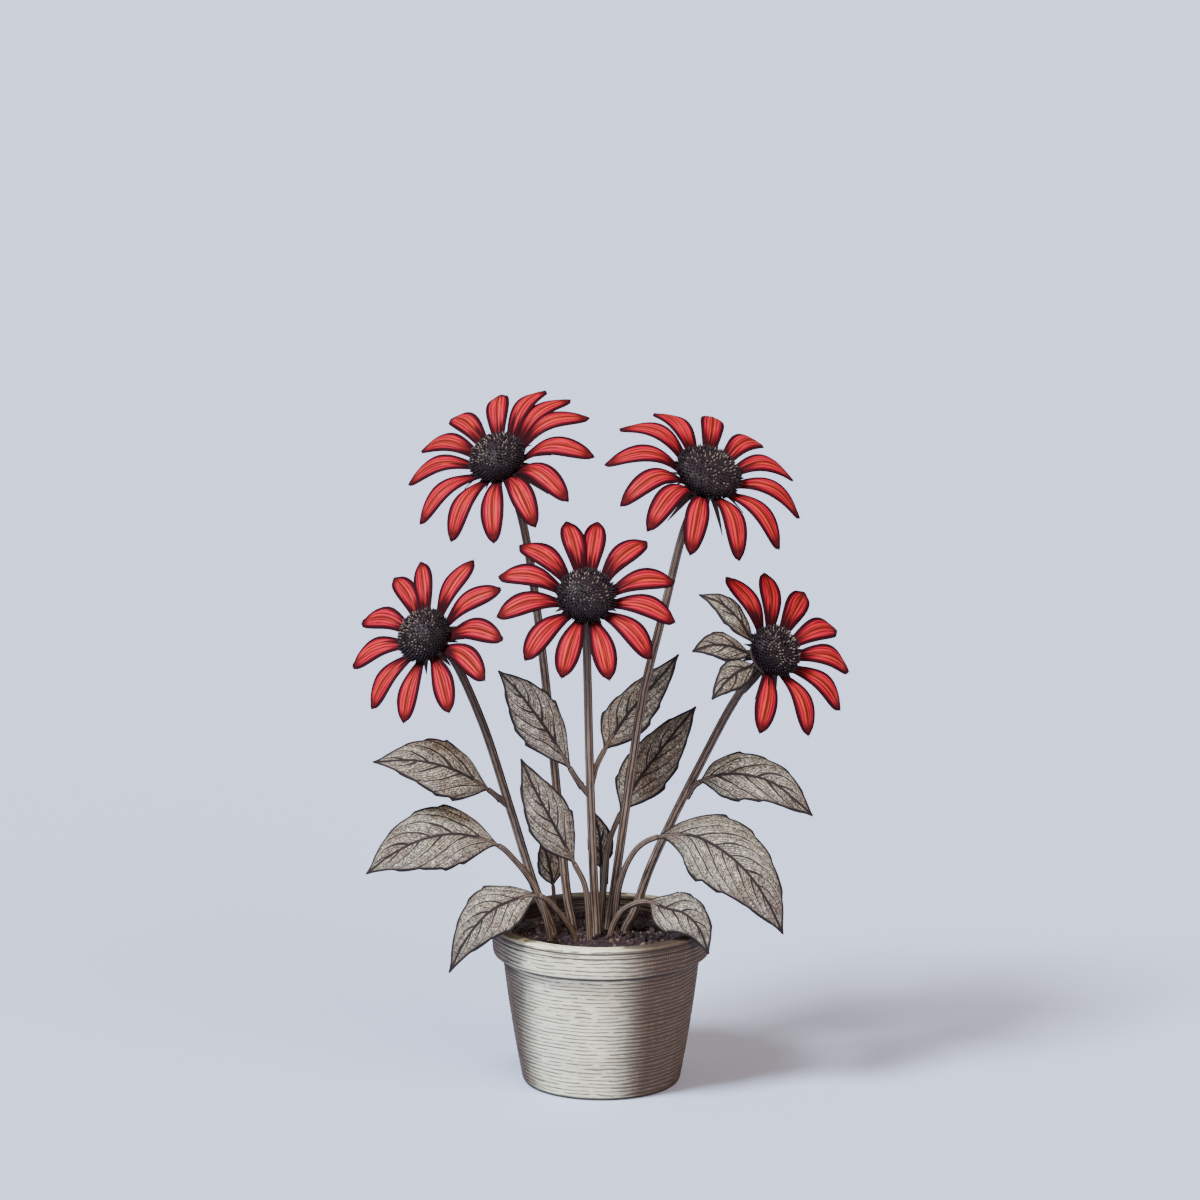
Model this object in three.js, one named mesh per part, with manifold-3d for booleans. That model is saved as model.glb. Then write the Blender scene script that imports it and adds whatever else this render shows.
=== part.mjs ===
// A tomato soup coneflower in its pot: five blooms with dark domed cones, on leafy
// stems that rise from the soil of a plain round pot, among a tuft of basal leaves.
// Millimetres, +Z up. The origin is on the surface that the pot stands on, under the
// middle of the pot, and the side seen in the photograph faces -Y.
import * as THREE from 'three';
import { ConvexGeometry } from 'three/addons/geometries/ConvexGeometry.js';
import { mergeVertices } from 'three/addons/utils/BufferGeometryUtils.js';
import Module from 'manifold-3d';

const wasm = await Module();
wasm.setup();

// Pot
const POT_HEIGHT = 112;
const RIM_RADIUS = 75;
const RIM_HEIGHT = 22;
const RIM_TAPER = 1.2;
const BODY_TOP_RADIUS = 67;
const BASE_RADIUS = 53.5;
const BODY_BULGE = 1;
const LIP_WIDTH = 9;
const INNER_BASE_RADIUS = 46;
const FLOOR_THICKNESS = 9;
const DRAIN_RADIUS = 7;
const EDGE_ROUND = 3;
const POT_SIDES = 28;

// Soil
const SOIL_EDGE = 101;
const SOIL_MOUND = 4;
const SOIL_LUMP = 1.1;
const SOIL_RINGS = 4;
const HOLE_DEPTH = 13;
const HOLE_CLEARANCE = 0.8;
const HOLE_SIDES = 8;
const GAP = 0.35;

// Stems and leaf stalks
const STEM_FOOT_RADIUS = 3.2;
const STEM_NECK_RADIUS = 2.7;
const STEM_SIDES = 7;
const STEM_STEPS = 15;
const STALK_RADIUS = 2;
const STALK_END_RADIUS = 1.1;
const STALK_SIDES = 5;
const STALK_REACH = 0.12;
const SMALL_STALK = 0.7;

// Leaf blades
const LEAF_THICKNESS = 0.9;
const LEAF_GRID = [4, 11];
const SMALL_LEAF_GRID = [2, 7];
const LEAF_FOLD = 0.35;
const LEAF_DROOP = 1.35;
const LEAF_WAVE = 1.2;
const LEAF_TOOTH = 0.05;
const LEAF_END = 0.7;

// Blooms
const RING_INNER = 13;
const RING_OUTER = 15.2;
const RING_THICKNESS = 1.4;
const RING_SIDES = 16;
const PETAL_ROOT = 14;
const PETAL_WIDTH = 15;
const PETAL_TIP_WIDTH = 4.2;
const PETAL_THICKNESS = 0.8;
const PETAL_CUP = 1.4;
const PETAL_POINT = 1.3;
const PETAL_GRID = [2, 5];
const CONE_HEIGHT = 19;
const CONE_FLARE = 0.66;
const CONE_TIPS = 40;
const CONE_RIM_TIPS = 16;
const CONE_VALLEY = 1.7;
const CONE_SWEEP = 80;
const CONE_RIM_SWEEP = 97;
const CONE_BOSS = 12.2;
const CONE_BOSS_SIDES = 12;
const CUP_RADIUS = 15;
const CUP_DEPTH = 14;
const CUP_SIDES = 12;
const SEPAL_LENGTH = 20;
const SEPAL_WIDTH = 4;
const SEPAL_POINT = 0.8;
const SEPAL_THICKNESS = 0.9;
const BRACT_FACING = [0, 0, 1];

const LEAF_FACING = [0, -0.74, 0.67];
const VIEWER = new THREE.Vector3(0, -1, 0);

// Each bloom: the middle of its petal ring, the way it faces in degrees above the
// horizon and round from the viewer, the reach of its petals, the radius of its
// cone, and the clock angles of its petals and sepals. Zero is up the slope of the ring.
// stem lists the points that its stem passes between the soil and the bloom.
const BLOOMS = {
  top_left: {
    centre: [-68, 21, 424], elevation: 50, azimuth: -32, cone: 20.2,
    reach: 68, arch: 10, bow: 4, droop: 3,
    petals: [-28, 1, 21, 43, 76, 109, 134, 160, 186, 216, 247, 274, 300],
    sepals: [1, 36, 66, 100, 142, 173, 215, 252, 283, 310, 335],
    stem: [[-19, 0], [-23, 1, 127], [-28, 5, 177], [-34, 11, 239], [-41, 18, 303],
      [-49, 26, 361], [-55, 31, 389]],
    leaves: [],
  },
  top_right: {
    centre: [70, 23, 412], elevation: 53, azimuth: 30, cone: 23.5,
    reach: 70, arch: 11.5, bow: 5, droop: 5,
    petals: [-33, -3, 31, 65, 93, 123, 154, 183, 213, 239, 263, 294],
    sepals: [-2, 28, 56, 84, 118, 172, 205, 243, 270, 300, 327],
    stem: [[5, 4], [9, 4, 135], [18, 6, 199], [28, 9, 266], [42, 18, 323], [56, 30, 377]],
    leaves: [],
  },
  left: {
    centre: [-116, -12, 311], elevation: 33, azimuth: -37, cone: 19.5,
    reach: 61.5, arch: 5, bow: 5.5, droop: 1,
    petals: [-31, 12, 46, 81, 111, 142, 176, 208, 242, 275, 309],
    sepals: [12, 42, 70, 102, 127, 180, 211, 247, 282, 315, 340],
    stem: [[-33, -8], [-45, -8, 137], [-61, -4, 189], [-81, 2, 251], [-101, 2, 295]],
    leaves: [
      { stalk: [[-62, -3, 192], [-69, -7, 199]], width: 42,
        rib: [[-76, -11, 206], [-100, -26, 224], [-125, -34, 232], [-153, -38, 232]] },
    ],
  },
  centre: {
    centre: [-10, -46, 345], elevation: 41, azimuth: 2, cone: 20.2,
    reach: 61.5, arch: 7.5, bow: 4, droop: 1,
    petals: [-12, 10, 43, 78, 106, 136, 167, 195, 223, 257, 287, 315],
    sepals: [-12, 15, 40, 68, 98, 128, 166, 196, 232, 262, 292, 320],
    stem: [[-3, -12], [-5, -11, 140], [-8, -11, 225], [-9, -14, 270], [-10, -24, 316]],
    leaves: [
      { stalk: [[-8, -10, 202], [-15, -15, 212]], width: 35,
        rib: [[-21, -19, 223], [-35, -27, 249], [-46, -31, 266], [-57, -33, 281],
          [-69, -34, 294]] },
      { stalk: [[-7, -10, 208], [-4, -4, 219]], width: 31,
        rib: [[2, 7, 229], [10, 20, 239], [19, 33, 249], [30, 46, 259], [42, 57, 270],
          [53, 66, 282]] },
    ],
  },
  right: {
    centre: [114, -16, 301], elevation: 34, azimuth: 36, cone: 18.5,
    reach: 61.5, arch: 9, bow: 3.5, droop: 1,
    petals: [-10, 17, 49, 80, 109, 140, 174, 212],
    sepals: [-10, 20, 45, 72, 100, 132, 178, 210, 227],
    stem: [[16, -4], [22, -4, 118], [33, -4, 150], [48, -2, 183], [67, 1, 221], [86, 2, 258],
      [96, 0, 275]],
    leaves: [
      { stalk: [[58, -1, 198], [62, -4, 206]], width: 37,
        rib: [[67, -8, 211], [79, -14, 217], [96, -21, 219], [115, -27, 215],
          [130, -30, 204], [142, -31, 193]] },
    ],
    bracts: [
      { clock: -39, reach: 64, width: 19 },
      { clock: -80, reach: 63, width: 20 },
      { clock: -112, reach: 65, width: 20 },
    ],
  },
};

// The leaves that rise from the soil on stalks of their own.
const BASAL_LEAVES = {
  left: {
    stalk: [[-35, -20], [-44, -19, 139], [-60, -23, 162]], width: 48,
    rib: [[-69, -26, 171], [-95, -34, 181], [-118, -38, 179], [-140, -40, 169],
      [-158, -40, 155]],
  },
  left_upright: {
    stalk: [[-8, -23], [-11, -23, 142]], width: 32,
    rib: [[-18, -25, 158], [-28, -30, 179], [-37, -33, 197], [-46, -35, 215],
      [-54, -36, 234]],
  },
  left_small: {
    stalk: [[-30, 24], [-32, 25, 118]], width: 16, small: true,
    rib: [[-33, 26, 129], [-36, 29, 145], [-41, 33, 161]],
  },
  left_front: {
    stalk: [[-18, -24], [-28, -31, 125]], width: 37,
    rib: [[-42, -40, 140], [-63, -50, 138], [-76, -56, 132], [-90, -60, 116],
      [-102, -60, 92]],
  },
  right_upright: {
    stalk: [[0, 15], [2, 17, 132], [5, 22, 159]], width: 35,
    rib: [[13, 29, 179], [24, 38, 198], [38, 49, 215], [52, 59, 231], [65, 67, 245]],
  },
  right_small: {
    stalk: [[-1, 27], [0, 27, 122]], width: 17, small: true,
    rib: [[0, 27, 140], [-1, 29, 162], [-5, 31, 180]],
  },
  right: {
    stalk: [[9, -6], [12, -7, 138], [24, -15, 166]], width: 53,
    rib: [[38, -22, 176], [60, -33, 180], [76, -41, 175], [91, -47, 165],
      [103, -50, 152], [114, -51, 134], [122, -50, 116]],
  },
  right_front: {
    stalk: [[6, -17], [14, -21, 124]], width: 33,
    rib: [[31, -33, 134], [44, -40, 131], [56, -46, 129], [66, -49, 119], [72, -50, 102]],
  },
};

const FINISHES = {
  pot: { color: 0xc9cabd, roughness: 0.85, metalness: 0 },
  soil: { color: 0x3a2a28, roughness: 1, metalness: 0 },
  stem: { color: 0x6f655c, roughness: 0.8, metalness: 0 },
  leaf: { color: 0xa59d90, roughness: 0.75, metalness: 0 },
  petal: { color: 0xd8453a, roughness: 0.6, metalness: 0 },
  cone: { color: 0x2b2023, roughness: 0.9, metalness: 0 },
};

// Solids are joined and cut here, and come back as plain geometry.
function solid(geometry) {
  const bare = geometry.clone();
  bare.deleteAttribute('normal');
  bare.deleteAttribute('uv');
  const merged = mergeVertices(bare, 1e-4);
  return new wasm.Manifold(new wasm.Mesh({
    numProp: 3,
    vertProperties: merged.attributes.position.array,
    triVerts: new Uint32Array(merged.index.array),
  }));
}

function geometryOf(body) {
  const { vertProperties, triVerts } = body.getMesh();
  const geometry = new THREE.BufferGeometry();
  geometry.setAttribute('position', new THREE.BufferAttribute(vertProperties, 3));
  geometry.setIndex(new THREE.BufferAttribute(triVerts, 1));
  geometry.computeVertexNormals();
  return geometry;
}

function fuse(geometries) {
  return geometryOf(geometries.map(solid).reduce((body, next) => body.add(next)));
}

function turned(outline, sides) {
  return new THREE.LatheGeometry(outline, sides).rotateX(Math.PI / 2);
}

function spline(points) {
  return new THREE.CatmullRomCurve3(points.map((p) => new THREE.Vector3(...p)));
}

// The point, sideways and upward directions of a curve, with up leaning to facing.
function frameOn(curve, t, facing) {
  const point = curve.getPoint(t);
  const tangent = curve.getTangent(t);
  const side = tangent.clone().cross(facing).normalize();
  const up = side.clone().cross(tangent);
  return { point, side, up };
}

// A closed round stalk along a stretch of a curve, thinner towards its end.
function stalkAlong(curve, [from, to], [footRadius, endRadius], sides, steps, facing) {
  const stalk = new THREE.CylinderGeometry(1, 1, 1, sides, steps);
  const at = stalk.attributes.position;
  for (let i = 0; i < at.count; i++) {
    const s = at.getY(i) + 0.5;
    const radius = THREE.MathUtils.lerp(footRadius, endRadius, s);
    const { point, side, up } = frameOn(curve, THREE.MathUtils.lerp(from, to, s), facing);
    point.addScaledVector(side, at.getX(i) * radius).addScaledVector(up, at.getZ(i) * radius);
    at.setXYZ(i, point.x, point.y, point.z);
  }
  return stalk;
}

// A thin blade. place(across, along, lift) puts each point of a flat grid, with across
// from -1 to 1 and along from 0 to 1. Both faces have the same triangles, so a waved
// blade keeps its thickness.
function blade(columns, rows, thickness, place) {
  const sheet = new THREE.PlaneGeometry(2, 1, columns, rows);
  const at = sheet.attributes.position;
  const front = [...sheet.index.array];
  const behind = at.count;
  const positions = [];
  for (const lift of [thickness / 2, -thickness / 2]) {
    for (let i = 0; i < behind; i++) {
      place(at.getX(i), at.getY(i) + 0.5, lift).toArray(positions, positions.length);
    }
  }
  const index = [...front];
  for (let i = 0; i < front.length; i += 3) {
    index.push(behind + front[i], behind + front[i + 2], behind + front[i + 1]);
  }
  const width = columns + 1;
  const last = rows * width;
  const rim = [];
  for (let i = 0; i < columns; i++) rim.push(i);
  for (let j = 0; j < rows; j++) rim.push(j * width + columns);
  for (let i = columns; i > 0; i--) rim.push(last + i);
  for (let j = rows; j > 0; j--) rim.push(j * width);
  rim.forEach((here, k) => {
    const next = rim[(k + 1) % rim.length];
    index.push(here, next, behind + next, here, behind + next, behind + here);
  });
  const geometry = new THREE.BufferGeometry();
  geometry.setAttribute('position', new THREE.Float32BufferAttribute(positions, 3));
  geometry.setIndex(index);
  return geometry;
}

// Half the width of a leaf along its rib, from 0 to 1: egg-shaped, drawn out to a point.
function leafOutline(s) {
  const bulge = 0.72;
  const point = 1.2;
  const widest = bulge / (bulge + point);
  const peak = widest ** bulge * (1 - widest) ** point;
  return (s ** bulge * (1 - s) ** point) / peak;
}

// A leaf blade on the stretch of a curve from t = from to its end, with a toothed and
// waved margin. Its halves rise beside the rib and droop again to the margin.
function leafBlade(curve, from, width, facing, [columns, rows]) {
  return blade(columns, rows, LEAF_THICKNESS, (across, along, lift) => {
    const tooth = Math.round(along * rows) % 2 ? 1 : -1;
    const margin = Math.abs(across) === 1 ? 1 + LEAF_TOOTH * tooth : 1;
    const half = LEAF_END + (width / 2) * leafOutline(along) * margin;
    const { point, side, up } = frameOn(curve, THREE.MathUtils.lerp(from, 1, along), facing);
    const fold = LEAF_FOLD * half * (Math.abs(across) - LEAF_DROOP * across ** 2);
    const wave = LEAF_WAVE * across ** 2 * Math.sin(along * 3 * Math.PI + across);
    return point
      .addScaledVector(side, across * half)
      .addScaledVector(up, fold + wave * Math.min(1, half / 8) + lift);
  });
}

// A leaf on its stalk. The stalk runs on into the blade as the thick end of the rib.
function leaf({ stalk, rib, width, facing = LEAF_FACING, small = false }) {
  const faces = new THREE.Vector3(...facing);
  const curve = spline([...stalk, ...rib]);
  const from = stalk.length / (stalk.length + rib.length - 1);
  const reach = [0, THREE.MathUtils.lerp(from, 1, STALK_REACH)];
  const radii = [STALK_RADIUS, STALK_END_RADIUS].map((radius) => (small ? SMALL_STALK : 1) * radius);
  const grid = small ? SMALL_LEAF_GRID : LEAF_GRID;
  return [
    stalkAlong(curve, reach, radii, STALK_SIDES, 2 + 2 * stalk.length, faces),
    leafBlade(curve, from, width, faces, grid),
  ];
}

// A plant part that starts in the soil stands upright in its hole before it bends.
function rooted([[x, y], ...rest]) {
  const foot = SOIL_EDGE - HOLE_DEPTH + GAP;
  return [[x, y, foot], [x, y, SOIL_EDGE - 2], [x, y, SOIL_EDGE + SOIL_MOUND + 1], ...rest];
}

function potOutline() {
  const rimFoot = POT_HEIGHT - RIM_HEIGHT;
  const lipInner = RIM_RADIUS - LIP_WIDTH;
  const rimFootRadius = RIM_RADIUS - RIM_TAPER;
  const bodyMiddle = (BASE_RADIUS + BODY_TOP_RADIUS) / 2 + 2 * BODY_BULGE;
  const path = new THREE.Path();
  path.moveTo(DRAIN_RADIUS, 0);
  path.lineTo(BASE_RADIUS - EDGE_ROUND, 0);
  path.quadraticCurveTo(BASE_RADIUS, 0, BASE_RADIUS + 0.5, EDGE_ROUND);
  path.quadraticCurveTo(bodyMiddle, rimFoot / 2, BODY_TOP_RADIUS, rimFoot - 2);
  path.quadraticCurveTo(BODY_TOP_RADIUS, rimFoot, BODY_TOP_RADIUS + 2, rimFoot);
  path.lineTo(rimFootRadius - EDGE_ROUND, rimFoot);
  path.quadraticCurveTo(rimFootRadius, rimFoot, rimFootRadius, rimFoot + EDGE_ROUND);
  path.lineTo(RIM_RADIUS, POT_HEIGHT - EDGE_ROUND);
  path.quadraticCurveTo(RIM_RADIUS, POT_HEIGHT, RIM_RADIUS - EDGE_ROUND, POT_HEIGHT);
  path.lineTo(lipInner + EDGE_ROUND, POT_HEIGHT);
  path.quadraticCurveTo(lipInner, POT_HEIGHT, lipInner, POT_HEIGHT - EDGE_ROUND);
  path.lineTo(INNER_BASE_RADIUS, FLOOR_THICKNESS);
  path.lineTo(DRAIN_RADIUS, FLOOR_THICKNESS);
  path.closePath();
  return path.getPoints(2);
}

function potInnerRadius(z) {
  const top = POT_HEIGHT - EDGE_ROUND;
  const s = (z - FLOOR_THICKNESS) / (top - FLOOR_THICKNESS);
  return THREE.MathUtils.lerp(INNER_BASE_RADIUS, RIM_RADIUS - LIP_WIDTH, s);
}

// Soil fills the pot to just under its lip, in a low mound with a lumpy top.
function soilBody() {
  const floor = FLOOR_THICKNESS + GAP;
  const edge = potInnerRadius(SOIL_EDGE) - GAP;
  const outline = [
    new THREE.Vector2(0, floor),
    new THREE.Vector2(potInnerRadius(floor) - GAP, floor),
    new THREE.Vector2(edge, SOIL_EDGE),
  ];
  for (let ring = SOIL_RINGS - 1; ring >= 0; ring--) {
    const s = ring / SOIL_RINGS;
    outline.push(new THREE.Vector2(edge * s, SOIL_EDGE + SOIL_MOUND * (1 - s ** 2)));
  }
  const body = turned(outline, POT_SIDES);
  const at = body.attributes.position;
  for (let i = 0; i < at.count; i++) {
    const [x, y, z] = [at.getX(i), at.getY(i), at.getZ(i)];
    const lump = Math.sin(x * 0.33 + 1) * Math.cos(y * 0.29) + 0.6 * Math.sin(x * 0.21 - y * 0.47);
    if (z > SOIL_EDGE + 0.1) at.setZ(i, z + SOIL_LUMP * lump);
  }
  return body;
}

function stemHole([x, y], radius) {
  const depth = HOLE_DEPTH + SOIL_MOUND + 3 * SOIL_LUMP;
  return new THREE.CylinderGeometry(radius, radius, depth, HOLE_SIDES)
    .rotateX(Math.PI / 2)
    .translate(x, y, SOIL_EDGE - HOLE_DEPTH + depth / 2);
}

// The turn that takes a bloom's own frame, with Z out of its face and Y up the slope
// of its petal ring, to the plant's.
function bloomTurn({ elevation, azimuth }) {
  const rise = THREE.MathUtils.degToRad(elevation);
  const round = THREE.MathUtils.degToRad(azimuth);
  const level = Math.cos(rise);
  const out = new THREE.Vector3(Math.sin(round) * level, -Math.cos(round) * level, Math.sin(rise));
  const across = new THREE.Vector3(0, 0, 1).cross(out).normalize();
  const slope = out.clone().cross(across);
  return new THREE.Matrix4().makeBasis(across, slope, out);
}

// A spread of small fixed differences between one petal and the next, from -1 to 1.
function vary(seed, i) {
  return Math.sin(seed * 12.9 + i * 4.7) * Math.cos(seed * 3.1 + i * 7.3);
}

function petal(clock, { reach, arch, bow, droop }, seed, i) {
  const turn = THREE.MathUtils.degToRad(clock);
  const out = new THREE.Vector3(Math.sin(turn), Math.cos(turn), 0);
  const side = new THREE.Vector3(out.y, -out.x, 0);
  const top = arch * (1 + 0.15 * vary(seed, i));
  const fall = droop + 1.5 * vary(seed, i + 40);
  const bend = 2 * vary(seed, i + 80);
  const sag = bow * Math.sin(turn);
  const tipHalf = PETAL_TIP_WIDTH / 2;
  return blade(...PETAL_GRID, PETAL_THICKNESS, (across, along, lift) => {
    const s = 1 - (1 - along) ** 1.35;
    const swell = Math.sin(Math.PI * s ** 1.42) ** 0.62;
    const half = tipHalf + (PETAL_WIDTH / 2 - tipHalf) * swell;
    const point = PETAL_POINT * (1 - Math.abs(across)) * s ** 6;
    const radius = THREE.MathUtils.lerp(PETAL_ROOT, reach - PETAL_POINT, s) + point;
    const height = top * Math.sin(Math.PI * s ** 1.02) - fall * s ** 3;
    const drift = bend * s ** 2 - sag * Math.sin(Math.PI * s);
    return new THREE.Vector3(0, 0, height - PETAL_CUP * across ** 2 * swell + lift)
      .addScaledVector(out, radius)
      .addScaledVector(side, across * half + drift);
  });
}

// The ray petals of one bloom, sunk into a thin ring that the cone hides.
function petalRing(bloom, seed) {
  const half = RING_THICKNESS / 2;
  const ring = turned([
    new THREE.Vector2(RING_INNER, -half),
    new THREE.Vector2(RING_OUTER, -half),
    new THREE.Vector2(RING_OUTER, half),
    new THREE.Vector2(RING_INNER, half),
    new THREE.Vector2(RING_INNER, -half),
  ], RING_SIDES);
  return fuse([ring, ...bloom.petals.map((clock, i) => petal(clock, bloom, seed, i))]);
}

// The cone: pointed florets in the two crossing spirals of a daisy head. The tips
// span a hull, and the middle of each of its facets is pressed in between them.
function cone({ cone: radius }) {
  const golden = Math.PI * (3 - Math.sqrt(5));
  const foot = RING_THICKNESS / 2 + GAP;
  const waist = foot + CONE_FLARE * (radius - CONE_BOSS);
  const onDome = (level, turn) => {
    const around = radius * Math.sqrt(1 - level ** 2);
    const rise = waist + (CONE_HEIGHT - waist) * level;
    return new THREE.Vector3(around * Math.cos(turn), around * Math.sin(turn), rise);
  };
  const sweep = 1 - Math.cos(THREE.MathUtils.degToRad(CONE_SWEEP));
  const rimLevel = Math.cos(THREE.MathUtils.degToRad(CONE_RIM_SWEEP));
  const tips = [];
  for (let i = 0; i < CONE_TIPS; i++) {
    tips.push(onDome(1 - sweep * ((i + 0.5) / CONE_TIPS), i * golden));
  }
  for (let i = 0; i < CONE_RIM_TIPS; i++) {
    tips.push(onDome(rimLevel, (i / CONE_RIM_TIPS) * 2 * Math.PI));
  }
  for (let i = 0; i < CONE_BOSS_SIDES; i++) {
    const turn = (i / CONE_BOSS_SIDES) * 2 * Math.PI;
    tips.push(new THREE.Vector3(CONE_BOSS * Math.cos(turn), CONE_BOSS * Math.sin(turn), foot));
  }
  const hull = new ConvexGeometry(tips).attributes.position;
  const heart = new THREE.Vector3(0, 0, waist);
  const positions = [];
  for (let i = 0; i < hull.count; i += 3) {
    const [a, b, c] = [0, 1, 2].map((k) => new THREE.Vector3().fromBufferAttribute(hull, i + k));
    const normal = b.clone().sub(a).cross(c.clone().sub(a)).normalize();
    const middle = a.clone().add(b).add(c).divideScalar(3);
    const inward = heart.clone().sub(middle).normalize();
    middle.addScaledVector(inward, CONE_VALLEY);
    const facets = normal.z < -0.2 ? [[a, b, c]] : [[a, b, middle], [b, c, middle], [c, a, middle]];
    for (const corner of facets.flat()) corner.toArray(positions, positions.length);
  }
  const dome = new THREE.BufferGeometry();
  dome.setAttribute('position', new THREE.Float32BufferAttribute(positions, 3));
  const depth = foot + 1 + RING_THICKNESS / 2;
  const boss = new THREE.CylinderGeometry(CONE_BOSS - GAP, CONE_BOSS - GAP, depth, CONE_BOSS_SIDES)
    .rotateX(Math.PI / 2)
    .translate(0, 0, depth / 2 - RING_THICKNESS / 2);
  return fuse([dome, boss]);
}

// The cup under a bloom, with its narrow pointed sepals, in the bloom's frame.
function bloomCup({ sepals: clocks }) {
  const top = -RING_THICKNESS / 2 - GAP;
  const cup = turned([
    new THREE.Vector2(0, top - CUP_DEPTH),
    new THREE.Vector2(STEM_NECK_RADIUS + 1, top - CUP_DEPTH),
    new THREE.Vector2(CUP_RADIUS * 0.65, top - CUP_DEPTH * 0.45),
    new THREE.Vector2(CUP_RADIUS, top - 2),
    new THREE.Vector2(CUP_RADIUS, top),
    new THREE.Vector2(0, top),
  ], CUP_SIDES);
  const sepals = clocks.map((clock) => {
    const turn = THREE.MathUtils.degToRad(clock);
    const out = new THREE.Vector3(Math.sin(turn), Math.cos(turn), 0);
    const side = new THREE.Vector3(out.y, -out.x, 0);
    return blade(1, 1, SEPAL_THICKNESS, (across, along, lift) => (
      new THREE.Vector3(0, 0, top - 3.5 - SEPAL_LENGTH * 0.55 * along + lift)
        .addScaledVector(out, CUP_RADIUS - 3 + SEPAL_LENGTH * 0.8 * along)
        .addScaledVector(side, (across * THREE.MathUtils.lerp(SEPAL_WIDTH, SEPAL_POINT, along)) / 2)
    ));
  });
  return [cup, ...sepals];
}

// A small leaf that grows under the bloom in the place of a petal.
function bract({ clock, reach, width }) {
  const out = (radius, rise, bow = 0) => {
    const turn = THREE.MathUtils.degToRad(clock + bow);
    return [radius * Math.sin(turn), radius * Math.cos(turn), rise];
  };
  return leaf({
    stalk: [out(7, -4), out(10, -4)],
    rib: [out(14, -3.5, 3), out(34, 2, 7), out(50, 3, 4), out(reach, 0)],
    width,
    facing: BRACT_FACING,
    small: true,
  });
}

function leafyStem(bloom, turn) {
  const { centre, stem, leaves, bracts = [] } = bloom;
  const place = turn.clone().setPosition(...centre);
  const neck = [-CUP_DEPTH * 0.9, -4].map((rise) => (
    new THREE.Vector3(0, 0, rise).applyMatrix4(place).toArray()
  ));
  const curve = spline([...rooted(stem), ...neck]);
  const radii = [STEM_FOOT_RADIUS, STEM_NECK_RADIUS];
  const top = [...bloomCup(bloom), ...bracts.flatMap(bract)].map((piece) => piece.applyMatrix4(place));
  return fuse([
    stalkAlong(curve, [0, 1], radii, STEM_SIDES, STEM_STEPS, VIEWER),
    ...top,
    ...leaves.flatMap(leaf),
  ]);
}

const plant = new THREE.Group();

function add(name, geometry, finish, parent = plant) {
  const mesh = new THREE.Mesh(geometry, new THREE.MeshStandardMaterial(FINISHES[finish]));
  mesh.name = name;
  parent.add(mesh);
}

add('pot', turned(potOutline(), POT_SIDES), 'pot');

const holes = [
  ...Object.values(BLOOMS).map(({ stem }) => stemHole(stem[0], STEM_FOOT_RADIUS + HOLE_CLEARANCE)),
  ...Object.values(BASAL_LEAVES).map(({ stalk }) => (
    stemHole(stalk[0], STALK_RADIUS + HOLE_CLEARANCE)
  )),
];
const soil = holes.map(solid).reduce((body, hole) => body.subtract(hole), solid(soilBody()));
add('soil', geometryOf(soil), 'soil');

Object.entries(BLOOMS).forEach(([name, bloom], seed) => {
  const turn = bloomTurn(bloom);
  add(`flower_stem_${name}`, leafyStem(bloom, turn), 'stem');
  const head = new THREE.Group();
  head.position.set(...bloom.centre);
  head.quaternion.setFromRotationMatrix(turn);
  plant.add(head);
  add(`ray_petals_${name}`, petalRing(bloom, seed + 1), 'petal', head);
  add(`cone_${name}`, cone(bloom), 'cone', head);
});

for (const [name, { stalk, ...rest }] of Object.entries(BASAL_LEAVES)) {
  add(`basal_leaf_${name}`, fuse(leaf({ stalk: rooted(stalk), ...rest })), 'leaf');
}

export default plant;
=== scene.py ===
# %% [markdown]
# # A potted coneflower, drawn with a pen and coloured by hand
#
# The plant stands in a plain cream pot: five red-orange blooms with dark domed cones,
# on ribbed stems above a tuft of grey-beige leaves. Everything on it looks as if an
# engraver had drawn it, so the lines of each surface matter as much as its colour.
# This lesson builds it piece by piece around a measured model of the same plant.
#
# First the tools. The frame is that measured model. The finished plant may not grow
# out of it.

# %% Load the frame
import math
import random

import bmesh
import bpy
from mathutils import Matrix, Quaternion, Vector, noise


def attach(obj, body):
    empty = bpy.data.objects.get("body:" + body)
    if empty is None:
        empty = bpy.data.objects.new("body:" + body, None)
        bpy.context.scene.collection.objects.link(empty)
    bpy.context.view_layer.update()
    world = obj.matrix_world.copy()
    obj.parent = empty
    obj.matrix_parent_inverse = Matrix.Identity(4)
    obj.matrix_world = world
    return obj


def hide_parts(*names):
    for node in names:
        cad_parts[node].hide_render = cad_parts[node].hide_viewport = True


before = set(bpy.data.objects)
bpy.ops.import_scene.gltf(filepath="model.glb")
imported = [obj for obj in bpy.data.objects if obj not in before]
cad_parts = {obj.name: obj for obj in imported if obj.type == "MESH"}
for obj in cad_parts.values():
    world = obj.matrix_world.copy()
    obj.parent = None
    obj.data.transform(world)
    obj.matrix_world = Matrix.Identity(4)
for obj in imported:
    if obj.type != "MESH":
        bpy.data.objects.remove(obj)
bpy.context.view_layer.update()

# %% [markdown]
# Botanists and potters both think in millimetres, and Blender thinks in metres. All
# sizes below are millimetres, and a finished piece is scaled once, when it is placed.
# A few driving sizes of the pot, the soil, the leaves and the blooms come first.

# %% Driving sizes, in millimetres
MM = 0.001

POT_HEIGHT = 112
RIM_RADIUS = 75
RIM_HEIGHT = 22
RIM_TAPER = 1.2
BODY_TOP_RADIUS = 67
BASE_RADIUS = 53.5
BODY_BULGE = 1
LIP_WIDTH = 9
INNER_BASE_RADIUS = 46
FLOOR_THICKNESS = 9
DRAIN_RADIUS = 7
EDGE_ROUND = 3

SOIL_EDGE = 101
SOIL_MOUND = 4
HOLE_DEPTH = 13
GAP = 0.35

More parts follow.
